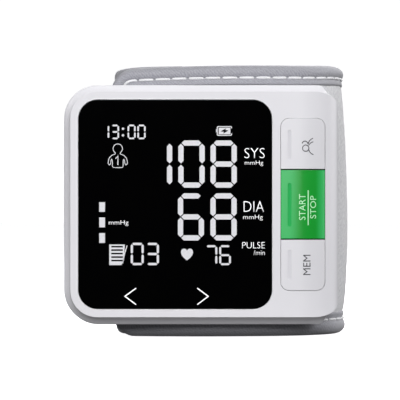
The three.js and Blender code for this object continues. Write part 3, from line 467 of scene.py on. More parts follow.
def cutColumns(piece, columns):
    with editing(piece):
        for x in columns:
            bpy.ops.mesh.select_all(action="SELECT")
            bpy.ops.mesh.bisect(plane_co=(x * mm, 0, 0), plane_no=(1, 0, 0))


# Housing, in mm: the bezel lies in one plane, then bends back over the wing at the right
coverLow, coverHigh = [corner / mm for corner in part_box("front_cover")]
housing = {
    "left": coverLow[0], "right": coverHigh[0], "low": coverLow[2], "high": coverHigh[2],
    "front": coverLow[1], "corner": 7.3, "wingCorner": (6.5, 4.1), "edge": 0.35, "coverDepth": 5,
    "seam": 0.3, "wingSeam": 2.9, "wall": 1.6, "bendRadius": 18, "bendAngle": 19.5, "sideRadius": 7,
    "wingEnd": -10.6, "flare": 2, "flareDepth": 2, "rearEdge": 1.1, "frontBand": 0.3, "bendBand": 0.8,
}
ring = {
    "x": 6.6, "y": 7.5, "halfWidth": 32.65, "halfDepth": 28, "exponent": 2.4, "fixedEndRadius": 110,
    "height": 75,
}
housingArea = (housing["left"], housing["right"], housing["low"], housing["high"])
bendAngle = math.radians(housing["bendAngle"])
sideX = housing["right"] - housing["sideRadius"]
flatEnd = sideX - (housing["bendRadius"] - housing["sideRadius"]) * math.sin(bendAngle)
seamX = housing["right"] - housing["wingSeam"]


def planDepth(x):
    bendRadius, sideRadius = housing["bendRadius"], housing["sideRadius"]
    sideDepth = bendRadius - (bendRadius - sideRadius) * math.cos(bendAngle)
    x = np.asarray(x, float)
    onBend = bendRadius - np.sqrt(np.maximum(bendRadius ** 2 - (x - flatEnd) ** 2, 0))
    onSide = sideDepth - np.sqrt(np.maximum(sideRadius ** 2 - (x - sideX) ** 2, 0))
    bendEnd = flatEnd + bendRadius * math.sin(bendAngle)
    return np.where(x < flatEnd, 0, np.where(x < bendEnd, onBend, onSide))


def wingColumns():
    onBend = [flatEnd + housing["bendRadius"] * math.sin(bendAngle * i / 8) for i in range(9)]
    onSide = [sideX + housing["sideRadius"] * math.cos(math.radians(90 - housing["bendAngle"]) * (1 - i / 14))
              for i in range(1, 14)]
    return onBend + onSide


def fixedEndY(x, grow=0):
    radius = ring["fixedEndRadius"] + grow
    centreY = ring["y"] + ring["fixedEndRadius"] - ring["halfDepth"]
    return centreY - np.sqrt(radius ** 2 - (x - ring["x"]) ** 2)


def ovalFrontY(x, grow=0):
    share = np.clip(np.abs((x - ring["x"]) / (ring["halfWidth"] + grow)), 0, 1) ** ring["exponent"]
    return ring["y"] - (ring["halfDepth"] + grow) * (1 - share) ** (1 / ring["exponent"])


def housingPlate(y, grow=0):
    wingCorner = tuple(radius + grow for radius in housing["wingCorner"])
    corner = housing["corner"] + grow
    return roundedPlate(grown(housingArea, grow), y, (wingCorner, corner, corner, wingCorner), 16)


# Front cover: plate with a rounded edge, bent over the wing, hollowed, with its window seat and key opening
windowLow, windowHigh = [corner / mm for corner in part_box("display_window")]
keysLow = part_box("key_memory")[0] / mm
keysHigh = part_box("key_user")[1] / mm
windowArea = (windowLow[0], windowHigh[0], windowLow[2], windowHigh[2])
opening = {"windowGap": 0.12, "windowRadius": 5.2, "ledge": 1.5, "seatDepth": 1.3, "holeDepth": 3,
           "keyGap": 0.08, "keyTab": 0.9, "keyRadius": 2.3, "keyDepth": 9, "keyLip": 0.1, "inFront": 2}
keyStrip = {"left": keysLow[0] + opening["keyTab"], "right": keysHigh[0],
            "low": keysLow[2], "high": keysHigh[2]}


def addFrontCover():
    face = housing["front"]
    cover = housingPlate(face)
    extrudeBoundary(cover, housing["coverDepth"])
    cutColumns(cover, wingColumns() + [seamX])
    extrudeBoundary(cover, housing["wingEnd"] - face - housing["coverDepth"],
                    lambda place: place[0] > seamX - nudge)
    turnOutwards(cover)
    addModifier(cover, "SOLIDIFY", thickness=housing["wall"] * mm, offset=-1, use_even_offset=True)
    places = readPlaces(cover)
    front = places[:, 1] < (face + housing["wall"] + housing["frontBand"]) * mm
    places[front, 1] += planDepth(places[front, 0] / mm) * mm
    bent = (face + housing["wall"] + housing["bendBand"] + planDepth(places[:, 0] / mm)) * mm
    sideRow = np.abs(places[:, 1] / mm - face - housing["coverDepth"]) < 0.2
    onWing = ~front & sideRow & (places[:, 0] > (seamX + nudge) * mm)
    places[onWing, 1] = np.maximum(places[onWing, 1], bent[onWing])
    writePlaces(cover, places)
    turnOutwards(cover)
    softenEdges(cover, housing["edge"], 3, 60)

    for area, gap, depth, radius in (
            (windowArea, opening["windowGap"], opening["seatDepth"], opening["windowRadius"]),
            (windowArea, -opening["ledge"], opening["holeDepth"], opening["windowRadius"]),
            (keyStrip.values(), opening["keyGap"], opening["keyDepth"], opening["keyRadius"])):
        cutWith(cover, prism(grown(area, gap), face - opening["inFront"], face + depth, [radius + gap] * 4))
    turnOutwards(cover)
    softenEdges(cover, opening["keyLip"], 2)
    smoothShade(cover, 30, True)
    return finishPiece(cover, "frontCover", shellWhite, "monitor", ["front_cover"])


# Rear case: bell-shaped flare behind the groove, deep walls, rounded rear corner and a saddle along the cuff
rearCase = {
    "groove": housing["coverDepth"] + housing["seam"], "bell": 0.6, "rim": 0.25, "lip": 1.0,
    "mouthStart": 1, "mouthEnd": 2.1, "cavityStart": 0.6, "cornerStart": -23.5, "cornerReach": 11.85,
    "saddleGap": 0.35, "taperStart": 31.1, "taperKept": 0.05, "taperPower": 1.7, "lowReach": 1.1,
    "screwX": housing["left"] + 5.25, "screwRise": 25.8, "screwSeat": -26, "seatThick": 1.5,
    "boreRadius": 1.8, "borePast": 3, "pillarRadius": 2.6, "pillarPast": -0.6, "usbGap": 0.3,
}


def rearDepth(x):
    lift = rearCase["saddleGap"]
    cornerEnd = housing["left"] - housing["flare"] + rearCase["cornerReach"]
    cornerY = fixedEndY(cornerEnd, lift)
    share = np.clip((x - cornerEnd + rearCase["cornerReach"]) / rearCase["cornerReach"], 0, 1)
    along = 1 - np.sqrt(share)
    corner = cornerY + along ** 2 * (rearCase["cornerStart"] - cornerY)
    saddle = np.where(x < ring["x"], fixedEndY(np.minimum(x, ring["x"]), lift), ovalFrontY(x, lift))
    return np.where(x < cornerEnd, corner, saddle)


def caseColumns(rightEnd):
    left = housing["left"] - housing["flare"]
    cornerEnd = left + rearCase["cornerReach"]
    corner = [left + rearCase["cornerReach"] * (i / 9) ** 2 for i in range(2, 10)]
    saddle = [cornerEnd + (rightEnd - cornerEnd) * i / 18 for i in range(1, 17)]
    taper = [rearCase["taperStart"] + (rightEnd - rearCase["taperStart"]) * share
             for share in (0, 0.3, 0.55, 0.75, 0.9, 0.97)]
    return corner + saddle + taper


# Closed block with the housing's outline, its rear shaped to the strap
def caseBlock(block, frontY, columns, inset, edge):
    extrudeBoundary(block, -frontY, lambda place: place[1] > frontY - nudge)
    closeBoundary(block)
    if edge:
        with editing(block):
            bpy.ops.mesh.select_mode(type="FACE")
            net = bmesh.from_edit_mesh(block.data)
            for face in net.faces:
                face.select_set(face.calc_center_median().y > -nudge * mm and face.normal.y > 0.9)
            bmesh.update_edit_mesh(block.data)
            insetSelected(roundedEdge(edge, 4))
    cutColumns(block, columns)
    places = readPlaces(block)
    rear = places[:, 1] > -nudge * mm
    places[rear, 1] += (rearDepth(places[rear, 0] / mm - inset) - inset - edge) * mm
    writePlaces(block, places)
    turnOutwards(block)
    return block


def addRearCase():
    flare = housing["flare"]
    wall = housing["wall"]
    rim = rearCase["rim"]
    grooveY = housing["front"] + rearCase["groove"]
    rightEnd = seamX - housing["seam"]
    bell = [(flare * share, housing["flareDepth"] * share ** rearCase["bell"])
            for share in (0, 0.05, 0.13, 0.24, 0.38, 0.54, 0.7, 0.85, 1)]
    rimY = grooveY + bell[-1][1]
    case = housingPlate(rimY + rim, flare)
    steps = [(flare - grow, rim + bell[-1][1] - lift) for grow, lift in reversed(bell[:-1])]
    insetSteps(case, [(0, 0), (rim * 0.1, rim * 0.5), (rim * 0.35, rim * 0.85)] + steps)
    case = caseBlock(case, rimY + rim, caseColumns(rightEnd) + [rightEnd], 0, housing["rearEdge"])
    places = readPlaces(case)
    past = np.clip((places[:, 0] / mm - rearCase["taperStart"]) / (rightEnd - rearCase["taperStart"]), 0, 1)
    kept = rearCase["taperKept"] + (1 - rearCase["taperKept"]) * (1 - past ** rearCase["taperPower"])
    for edge, way, reach in ((housing["high"], 1, 1), (housing["low"], -1, rearCase["lowReach"])):
        beyond = np.maximum((places[:, 2] / mm - edge) * way, 0)
        places[:, 2] += way * beyond * (kept * reach - 1) * mm
    writePlaces(case, places)
    turnOutwards(case)
    cutWith(case, addBox((rightEnd, -60, -20), (60, 40, 100)))

    cavityY = rimY + rearCase["cavityStart"]
    cavity = housingPlate(cavityY, flare - wall)
    cutWith(case, caseBlock(cavity, cavityY, [x + wall for x in caseColumns(rightEnd)], wall, 0))
    mouth = housingPlate(grooveY - rearCase["mouthStart"], -rearCase["lip"])
    addModifier(mouth, "SOLIDIFY", thickness=(rimY + rearCase["mouthEnd"] - grooveY) * mm, offset=-1)
    cutWith(case, mouth)

    middle = (housing["low"] + housing["high"]) / 2
    screwX, seatY = rearCase["screwX"], rearCase["screwSeat"]
    rearY = rearDepth(np.array([screwX]))[0]
    for side in (-1, 1):
        z = middle + side * rearCase["screwRise"]
        cutWith(case, addRod(rearCase["pillarRadius"], screwX, z, seatY - rearCase["seatThick"],
                             rearY + rearCase["pillarPast"], 28), "UNION")
        cutWith(case, addRod(rearCase["boreRadius"], screwX, z, seatY, rearY + rearCase["borePast"], 28))
    gap = rearCase["usbGap"]
    usbLow, usbHigh = [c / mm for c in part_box("usb_socket")]
    cutWith(case, addBox((usbLow[0] - gap, usbLow[1] - gap, housing["low"] - 5),
                         (usbHigh[0] + gap, usbHigh[1] + gap, housing["low"] + 3)))
    turnOutwards(case)
    softenEdges(case, 0.1, 2)
    smoothShade(case, 30, True)
    return finishPiece(case, "rearCase", shellWhite, "monitor", ["rear_case"])


addFrontCover()
addRearCase()
print("housing modelled")

# Window: one pane with a softened edge, printed black from behind
pane = {"edge": 0.12, "rim": 0.34, "rimRise": 0.05, "rimSeat": 0.3, "rimFoot": 0.02, "rimCrest": 0.09}


def addWindow():
    edge = pane["edge"]
    glass = roundedPlate(windowArea, displayFace + edge, [opening["windowRadius"]] * 4, 16)
    insetSteps(glass, roundedEdge(edge, 3))
    extrudeBoundary(glass, windowHigh[1] - displayFace - edge)
    closeBoundary(glass)
    smoothShade(glass, 30, True)
    return finishPiece(glass, "displayWindow", windowBlack, "monitor", ["display_window"])


# Fine polished bead moulded round the window's seat, in a brighter white than the shell: a painted highlight
# along the window's edge
def addWindowRim():
    bead = pane["rim"]
    gap = opening["windowGap"] + bead
    foot, crest = pane["rimFoot"], pane["rimCrest"]
    rise = pane["rimSeat"] + pane["rimRise"]
    rim = roundedPlate(grown(windowArea, gap), housing["front"] + pane["rimSeat"],
                       [opening["windowRadius"] + gap] * 4, 16)
    insetSteps(rim, [(0, 0), (foot, rise * 0.7), (crest, rise),
                     (bead - crest, rise), (bead - foot, rise * 0.7), (bead, 0)])
    with editing(rim, False):
        bpy.ops.mesh.delete(type="FACE")
        selectBoundary(rim)
        bpy.ops.mesh.bridge_edge_loops()
    turnOutwards(rim)
    smoothShade(rim, 60, True)
    return finishPiece(rim, "windowRim", rimPaintedHighlight, "monitor")


addWindow()
addWindowRim()
print("window modelled")


# Signs of the display, placed by their pixels in the photograph, as the camera sees the front plane
photo = {"centre": 200, "pixelsPerMm": 3.68, "ink": 0.05}


def atPixel(px, py):
    return (camera["x"] + (px - photo["centre"]) / photo["pixelsPerMm"],
            camera["z"] - (py - photo["centre"]) / photo["pixelsPerMm"])


# Pixels turned into places on the plane of the signs, a hair in front of the window
def onSignPlane(pixels):
    x, z = atPixel(pixels[:, 0], pixels[:, 1])
    return np.column_stack([x, np.full(len(x), displayFace - photo["ink"]), z]) * mm


def flatShape(points):
    bpy.ops.mesh.primitive_circle_add(vertices=len(points), radius=mm, fill_type="NGON")
    shape = bpy.context.object
    writePlaces(shape, onSignPlane(np.array(points, float)))
    return faceCamera(shape)


def flatBox(left, top, right, bottom):
    return flatShape([(left, top), (right, top), (right, bottom), (left, bottom)])


# A drawn line of even width, mitred at its bends
def flatLine(points, width, closed=False):
    points = np.array(points, float)
    if closed:
        points = np.vstack([points, points[:1]])
    steps = np.diff(points, axis=0)
    steps /= np.linalg.norm(steps, axis=1)[:, None]
    before = np.vstack([steps[-1:] if closed else steps[:1], steps])
    after = np.vstack([steps, steps[:1] if closed else steps[-1:]])
    mitre = before + after
    mitre /= np.linalg.norm(mitre, axis=1)[:, None]
    side = np.column_stack([-mitre[:, 1], mitre[:, 0]])
    stretch = 1 / np.maximum(np.abs((side * np.column_stack([-after[:, 1], after[:, 0]])).sum(1)), 0.5)
    bpy.ops.mesh.primitive_grid_add(x_subdivisions=len(points) - 1, y_subdivisions=1, size=1)
    line = bpy.context.object
    shares = readPlaces(line)[:, :2] + 0.5
    index = np.round(shares[:, 0] * (len(points) - 1)).astype(int)
    reach = ((shares[:, 1] - 0.5) * width * stretch[index])[:, None]
    writePlaces(line, onSignPlane(points[index] + side[index] * reach))
    if closed:
        mergeDoubles(line)
    return faceCamera(line)


def arcPoints(centreX, centreY, radius, fromAngle, toAngle, count=16, squeeze=1):
    angles = np.radians(np.linspace(fromAngle, toAngle, count))
    return [(centreX + radius * math.cos(a), centreY + squeeze * radius * math.sin(a)) for a in angles]


# Seven bars of one digit: each a hexagon between two of its six nodes
bars = {"top": (0, 1), "upperRight": (1, 3), "lowerRight": (3, 5), "bottom": (4, 5), "lowerLeft": (2, 4),
        "upperLeft": (0, 2), "middle": (2, 3)}
digits = {
    "0": ("top", "upperRight", "lowerRight", "bottom", "lowerLeft", "upperLeft"),
    "1": ("upperRight", "lowerRight"),
    "3": ("top", "upperRight", "middle", "lowerRight", "bottom"),
    "6": ("top", "upperLeft", "middle", "lowerLeft", "lowerRight", "bottom"),
    "7": ("top", "upperRight", "lowerRight"),
    "8": tuple(bars),
}


def addDigit(digit, left, top, right, bottom, bar, gap):
    half = bar / 2
    nodes = [(x, y) for y in (top + half, (top + bottom) / 2, bottom - half)
             for x in (left + half, right - half)]
    made = []
    for name in digits[digit]:
        start, end = (np.array(nodes[i]) for i in bars[name])
        way = unit(end - start)
        side = np.array([-way[1], way[0]]) * half
        start = start + way * gap
        end = end - way * gap
        made.append(flatShape([start, start + way * half + side, end - way * half + side, end,
                               end - way * half - side, start + way * half - side]))
    return made


# (digit, left, top, right, bottom), bar width, gap at the nodes
displayDigits = (
    ([("1", 145.8, 140.4, 172.2, 187.7), ("0", 178.3, 140.4, 204.7, 187.7), ("8", 210.5, 140.4, 236.8, 187.7),
      ("6", 177.9, 193.3, 204, 240.5), ("8", 210.4, 193.3, 236.7, 240.5)], 5.25, 0.7),
    ([("1", 101.4, 124.6, 109.3, 139.2), ("3", 111, 124.6, 119.1, 139.2), ("0", 127.5, 124.6, 135.7, 139.2),
      ("0", 137.3, 124.6, 145.7, 139.2)], 1.7, 0.35),
    ([("0", 130.7, 242.8, 143.8, 265.2), ("3", 145.9, 242.8, 159, 265.2)], 2.3, 0.4),
    ([("7", 205.3, 245.2, 217.3, 265.2), ("6", 219.2, 245.2, 231, 265.2)], 2.05, 0.4),
)
displayBoxes = {
    "upperBar": (99.2, 202.2, 105, 211.8), "middleBar": (99.2, 217.5, 105, 227.3),
    "lowerBar": (99.2, 233.1, 105, 242.9), "batteryTerminal": (216, 129.1, 217, 132.3),
}
displayWords = (
    ("SYS", 244.4, 148, 264.7, 158.2, -0.014), ("mmHg", 244.8, 160.6, 263.2, 166, -0.007),
    ("DIA", 243.6, 201.2, 264, 211.8, -0.014), ("mmHg", 243.1, 214.8, 262.8, 220.6, -0.007),
    ("PULSE", 242.2, 242, 264.9, 248.4, -0.012), ("/min", 253.6, 250.2, 264.8, 255.1, -0.01),
    ("mmHg", 108.8, 220.3, 128.4, 226, -0.006),
)
person = {
    "head": (117.75, 148.6, 4.7), "line": 0.72, "mirror": 235.5,
    "half": [(115.4, 152.8), (115.2, 153.9), (111.6, 155.4), (109.2, 157.9), (108.3, 160.8), (108.1, 162.8),
             (108.6, 164.2), (109.5, 164.9), (110.4, 164.2), (110.8, 162.4), (111, 160.4), (111.7, 159.4),
             (112.3, 160.6), (112.4, 166.3), (113.2, 167.4), (115, 167.6)],
    "one": [(115.5, 158.6), (117.9, 156.2), (117.9, 165)], "oneLine": 1.0,
}


def addWord(word, left, top, right, bottom, weight, turned=False, plane=None):
    bpy.ops.object.text_add()
    text = bpy.context.object
    text.data.body = word
    text.data.offset = weight
    text.data.resolution_u = 3
    selectOnly(text)
    bpy.ops.object.convert(target="MESH")
    letters = bpy.context.object
    places = readPlaces(letters)
    shares = (places - places.min(0))[:, :2] / (places.max(0) - places.min(0))[:2]
    if turned:
        shares = np.column_stack([1 - shares[:, 1], shares[:, 0]])
    pixels = np.column_stack([left + shares[:, 0] * (right - left), bottom + shares[:, 1] * (top - bottom)])
    writePlaces(letters, onSignPlane(pixels))
    mergeDoubles(letters)
    return faceCamera(letters)


def addPerson():
    headX, headY, radius = person["head"]
    line = person["line"]
    other = [(person["mirror"] - x, y) for x, y in reversed(person["half"])]
    neck = math.degrees(math.asin(2.3 / radius))
    return [
        flatLine(arcPoints(headX, headY, radius, 90 + neck, 450 - neck, 30), line),
        flatLine(person["half"] + other, line),
        flatLine(person["one"], person["oneLine"]),
    ]


def addBattery():
    # outline with a notch at its right side, a lit block and a dark bolt left out of it
    outline = [(231.6, 128.4), (231.6, 127.2), (230.9, 126.6), (217.9, 126.6), (217.3, 127.2), (217.3, 134.6),
               (217.9, 135.3), (230.9, 135.3), (231.6, 134.7), (231.6, 133.4)]
    upper = flatShape([(218.7, 127.7), (230.4, 127.7), (230.4, 131), (228.6, 130.4), (225.3, 130),
                       (226.3, 128.2), (220.6, 131.4), (218.7, 131.4)])
    lower = flatShape([(218.7, 131.4), (220.6, 131.4), (223.9, 131.8), (222.9, 133.8), (228.6, 130.4),
                       (230.4, 131), (230.4, 134.3), (218.7, 134.3)])
    return [flatLine(outline, 0.9), upper, lower]


def addHeart():
    points = [(187, 260.4), (183.6, 257.6), (181.6, 254.9), (180.9, 252.4), (181.3, 250.3), (182.7, 248.9),
              (184.5, 248.6), (186.1, 249.3), (187, 250.7)]
    return [flatShape(points + [(374 - x, y) for x, y in reversed(points[1:-1])])]


def addNotepad():
    rows = [245.9, 249.3, 252.8, 256.3, 259.8]
    left, right, low = 109.2, 124.8, 265.1
    made = [flatBox(left, 244.5, right, rows[0]), flatBox(left, rows[0], 111.3, low)]
    for upper, lower in zip(rows, rows[1:]):
        made.append(flatBox(111.3, upper + 1.6, 122.8, lower))
    made.append(flatShape([(111.3, 261.4), (123.6, 261.4), (121.3, low), (111.3, low)]))
    made.append(flatShape([(122.8, 245.9), (right, 245.9), (123.6, 261.4), (122.8, 261.4)]))
    made.append(flatLine([(127, 245.6), (124.9, 252.6), (122.6, 263.4)], 0.9))
    return made


def addDisplaySigns():
    made = []
    for group, bar, gap in displayDigits:
        for digit in group:
            made += addDigit(*digit, bar, gap)
    made += [flatBox(*box) for box in displayBoxes.values()]
    made += [flatShape(arcPoints(123, y, 1.25, 0, 330, 12)) for y in (128.7, 135.3)]
    made += addPerson() + addBattery() + addHeart() + addNotepad()
    words = [addWord(*word) for word in displayWords]
    words += [flatLine([(136, 288.2), (125, 296.3), (136, 304.6)], 1.1),
              flatLine([(197.3, 288.2), (208.2, 296.3), (197.3, 304.6)], 1.1)]
    for group, name, material in ((made, "displaySigns", segmentLight), (words, "displayWords", wordLight)):
        signs = joinPieces(group)
        addModifier(signs, "SOLIDIFY", thickness=photo["ink"] * 0.8 * mm, offset=-1)
        finishPiece(signs, name, material, "monitor")


addDisplaySigns()
print("display signs modelled")


# Keys: caps that follow the bend of the wing, each with a slot for the finger and a skirt
cap = {"edge": 0.14, "crown": 0.3, "slotLeft": 287.7, "slotRight": 291.5, "slotDepth": 0.36,
       "slotSlope": 0.93, "faceBand": 0.6, "joint": 0.15}
keySlots = {"key_user": (130, 159.8), "key_start_stop": (183, 226.5), "key_memory": (250, 279.8)}


def capDepth(x):
    share = np.clip((x - keyStrip["left"]) / (keyStrip["right"] - keyStrip["left"]), 0, 1)
    return planDepth(x) - cap["crown"] * np.sin(math.pi * share)


def addKey(node, body, name, material, corners):
    low, high = [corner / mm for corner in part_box(node)]
    edge = cap["edge"]
    depth = cap["slotDepth"]
    area = (keyStrip["left"], keyStrip["right"], low[2], high[2])
    key = roundedPlate(area, displayFace + edge, corners, 10)
    insetSteps(key, roundedEdge(edge, 3))
    extrudeBoundary(key, high[1] - displayFace - edge)
    cutColumns(key, np.linspace(keyStrip["left"], keyStrip["right"], 26)[1:-1])
    closeBoundary(key)
    top, bottom = keySlots[node]
    left, upper = atPixel(cap["slotLeft"], top)
    right, lower = atPixel(cap["slotRight"], bottom)
    cutWith(key, prism((left, right, lower, upper), displayFace - 1, displayFace + depth,
                       [(right - left) / 2 - nudge] * 4, 6))
    places = readPlaces(key)
    across, up = places[:, 0] / mm, places[:, 2] / mm
    floor = ((across > left - nudge) & (across < right + nudge) & (up > lower - nudge) & (up < upper + nudge)
             & (np.abs(places[:, 1] / mm - displayFace - depth) < nudge))
    slope = np.clip((across[floor] - left) / (right - left), 0, 1)
    places[floor, 1] -= depth * cap["slotSlope"] * slope * mm
    front = places[:, 1] < (displayFace + cap["faceBand"]) * mm
    places[front, 1] += capDepth(places[front, 0] / mm) * mm
    writePlaces(key, places)
    smoothShade(key, 30, True)
    return finishPiece(key, name, material, body, [node])


# Lays flat signs on the curved caps, a hair above them
def onKeys(piece, name, material, body):
    places = readPlaces(piece)
    places[:, 1] += capDepth(places[:, 0] / mm) * mm
    writePlaces(piece, places)
    addModifier(piece, "SOLIDIFY", thickness=photo["ink"] * 0.8 * mm, offset=-1)
    return finishPiece(piece, name, material, body)


outer = opening["keyRadius"]
inner = cap["joint"]
addKey("key_user", "user_key", "keyUser", keyWhite, (outer, outer, inner, inner))
addKey("key_memory", "memory_key", "keyMemory", keyWhite, (inner, inner, outer, outer))
addKey("key_start_stop", "start_stop_key", "keyStartStop", keyGreen, [inner] * 4)

users = {"line": 0.9, "radius": 3.2}
userHead = flatLine(arcPoints(305.7, 148.2, users["radius"], 0, 345, 24), users["line"], True)
userSign = joinPieces([userHead] + [
    flatLine(points, users["line"]) for points in (
        arcPoints(305, 144, 2.9, 190, 350, 12),
        [(308, 144.2), (309.3, 141), (311, 139.3), (313, 138.3)],
        [(308.6, 145.4), (309.6, 143.9), (311.2, 142.5), (313.3, 141.7)],
        [(308.8, 150), (309.8, 151.9), (311.4, 153.6), (313.4, 154.6)])])
onKeys(userSign, "signUser", inkGrey, "user_key")
onKeys(addWord("MEM", 303.2, 254.8, 310.5, 275, 0.0, True), "signMemory", inkGrey, "memory_key")
startSign = joinPieces([
    addWord("START", 299, 194, 305.5, 220, 0.0, True), addWord("STOP", 310.2, 195.7, 316.2, 218.5, 0.0, True),
    flatLine([(308.2, 190.3), (308.2, 225.2)], 1.1)])
onKeys(startSign, "signStartStop", inkPale, "start_stop_key")
print("keys modelled")


# Key domes: silicone cones on the key board
dome = {"base": 3.1, "top": 1.7, "keep": 0.54, "edge": 0.25}
for node, joint in (("key_dome_user", "user_key_press"), ("key_dome_start_stop", "start_stop_key_press"),
                    ("key_dome_memory", "memory_key_press")):
    low, high = [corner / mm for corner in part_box(node)]
    middle = (low + high) / 2
    bpy.ops.mesh.primitive_cone_add(vertices=32, radius1=dome["base"] * mm, radius2=dome["top"] * mm,
                                    depth=(high[1] - low[1]) * mm, location=middle * mm,
                                    rotation=(math.radians(90), 0, 0))
    piece = applyTransform(bpy.context.object)
    softenEdges(piece, dome["edge"], 3, 30)
    smoothShade(piece, 40)
    name = "dome" + "".join(word.capitalize() for word in node.split("_")[2:])
    finishPiece(piece, name, innerFinishes["silicone"], "monitor", [node])
    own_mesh(piece)
print("domes modelled")


# Case screws: domed heads with a cross recess, seen at the bottom of the two bores in the rear
screw = {"shank": 0.85, "headHeight": 1.2, "edge": 0.3,
         "recess": 0.7, "recessWidth": 0.45, "recessLength": 1.7}


def addScrew(node, name):
    low, high = [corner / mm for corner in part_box(node)]
    x, z = (low[0] + high[0]) / 2, (low[2] + high[2]) / 2
    head = addRod((high[0] - low[0]) / 2, x, z, high[1] - screw["headHeight"], high[1], 32)
    softenEdges(head, screw["edge"], 3)
    centre = np.array([x, high[1], z])
    for width, height in ((screw["recessLength"], screw["recessWidth"]),
                          (screw["recessWidth"], screw["recessLength"])):
        half = np.array([width / 2, screw["recess"], height / 2])
        cutWith(head, addBox(centre - half, centre + half))
    shank = addRod(screw["shank"], x, z, low[1], high[1] - screw["headHeight"] / 2, 24)
    cutWith(head, shank, "UNION")
    smoothShade(head, 35, True)
    return finishPiece(head, name, innerFinishes["steel"], "monitor", [node])


addScrew("case_screw_1", "caseScrewLow")
addScrew("case_screw_2", "caseScrewHigh")
print("screws modelled")


# Strap, in mm: a path seen from above, from the end under the housing, round the wrist, to the tucked tail;
# its edges drop or rise a little near its end, at the front and at its two bends
strap = {
    "fixedEnd": -33.8, "thick": 5.9, "tailThick": 3.3, "tailInset": 6.5, "tailJoin": -18, "tailTip": -7,
    "tailBend": 205, "tailHinge": 150, "handle": 6, "corner": 7, "tapeReach": 5.9, "stitchDepth": 3.3,
    "coverStart": 3, "easing": 8, "spacing": 0.5, "lean": 0.5, "sag": 0.3, "sagReach": 28,
    "topDrop": 0.15, "endDrop": 0.6, "endRun": 14, "frontDrop": 0.45, "frontReach": 22,
    "bendRise": 0.4, "riseReach": 12, "bendDrop": 0.5, "dropReach": 14,
}


def ovalPoint(degrees):
    cosine = math.cos(math.radians(degrees))
    sine = math.sin(math.radians(degrees))
    power = 2 / ring["exponent"]
    return np.array([ring["halfWidth"] * math.copysign(abs(cosine) ** power, cosine),
                     ring["halfDepth"] * math.copysign(abs(sine) ** power, sine)])


def fixedEndPoint(x, inset=0):
    centreY = ring["fixedEndRadius"] - ring["halfDepth"]
    return np.array([x, centreY - math.sqrt((ring["fixedEndRadius"] - inset) ** 2 - x * x)])


def strapPath():
    points = [fixedEndPoint(x) for x in np.linspace(strap["fixedEnd"], 0, 120)[:-1]]
    points += [ovalPoint(angle) for angle in np.linspace(-90, strap["tailBend"], 1200)]
    start = points[-1]
    end = fixedEndPoint(strap["tailJoin"], strap["tailInset"])
    leave = start + unit(points[-1] - points[-2]) * strap["handle"]
    arrive = end - unit(fixedEndPoint(strap["tailJoin"] + 1, strap["tailInset"]) - end) * strap["handle"]
    for t in np.linspace(0, 1, 60)[1:-1]:
        points.append((1 - t) ** 3 * start + 3 * (1 - t) ** 2 * t * leave + 3 * (1 - t) * t ** 2 * arrive
                      + t ** 3 * end)
    points += [fixedEndPoint(x, strap["tailInset"])
               for x in np.linspace(strap["tailJoin"], strap["tailTip"], 40)]
    points = np.array(points) + [ring["x"], ring["y"]]
    lengths = np.concatenate([[0], np.cumsum(np.linalg.norm(np.diff(points, axis=0), axis=1))])
    even = np.linspace(0, lengths[-1], int(lengths[-1] / strap["spacing"]))
    path = np.column_stack([np.interp(even, lengths, points[:, i]) for i in (0, 1)])
    for _ in range(4):
        path[1:-1] = (path[:-2] + 2 * path[1:-1] + path[2:]) / 4
    tangent = np.gradient(path, axis=0)
    tangent /= np.linalg.norm(tangent, axis=1)[:, None]
    return even, path, np.column_stack([-tangent[:, 1], tangent[:, 0]])


pathLengths, pathPoints, pathNormals = strapPath()


def lengthNear(point):
    away = np.linalg.norm(pathPoints - (point + [ring["x"], ring["y"]]), axis=1)
    return pathLengths[np.argmin(away)]


# Lengths along the strap: its end, the start of the cover's swell, both bends, the back's middle, the hinge
strapEnd = pathLengths[-1]
swellRun = 14
swellStart = lengthNear(np.array([seamX, ovalFrontY(seamX)]) - [ring["x"], ring["y"]])
rightBend = lengthNear(ovalPoint(-20))
leftBend = lengthNear(ovalPoint(190))
backMiddle = lengthNear(ovalPoint(90))
tailHinge = lengthNear(ovalPoint(strap["tailHinge"]))


def smoothStep(low, high, value):
    share = np.clip((value - low) / (high - low), 0, 1)
    return share * share * (3 - 2 * share)


def thickness(s):
    share = smoothStep(tailHinge - strap["easing"], tailHinge + strap["easing"], s)
    return strap["thick"] + (strap["tailThick"] - strap["thick"]) * share


def hump(s, middle, reach):
    return np.exp(-((s - middle) / reach) ** 2)


# Place on the strap: s along it, z up it, inset from its outer side
def strapPlace(s, z, inset):
    low = -strap["sag"] * hump(s, 0, strap["sagReach"])
    high = (ring["height"] - strap["topDrop"] - strap["endDrop"] * np.exp(-s / strap["endRun"])
            - strap["frontDrop"] * hump(s, 0, strap["frontReach"])
            + strap["bendRise"] * hump(s, rightBend, strap["riseReach"])
            - strap["bendDrop"] * hump(s, leftBend, strap["dropReach"]))
    x, y = [np.interp(s, pathLengths, pathPoints[:, i]) + np.interp(s, pathLengths, pathNormals[:, i]) * inset
            for i in (0, 1)]
    lean = strap["lean"] * (0.5 - z / ring["height"])
    return np.column_stack([x + lean, y, low + z / ring["height"] * (high - low)])


# Lengths of the strap's edge: its straight run, the arc of a corner, and the end between the corners
def edgeRuns(openS, endS):
    radius = strap["corner"]
    return abs(endS - openS) - radius, math.pi / 2 * radius, ring["height"] - 2 * radius


def edgeLength(openS, endS):
    straight, quarter, upright = edgeRuns(openS, endS)
    return 2 * straight + 2 * quarter + upright


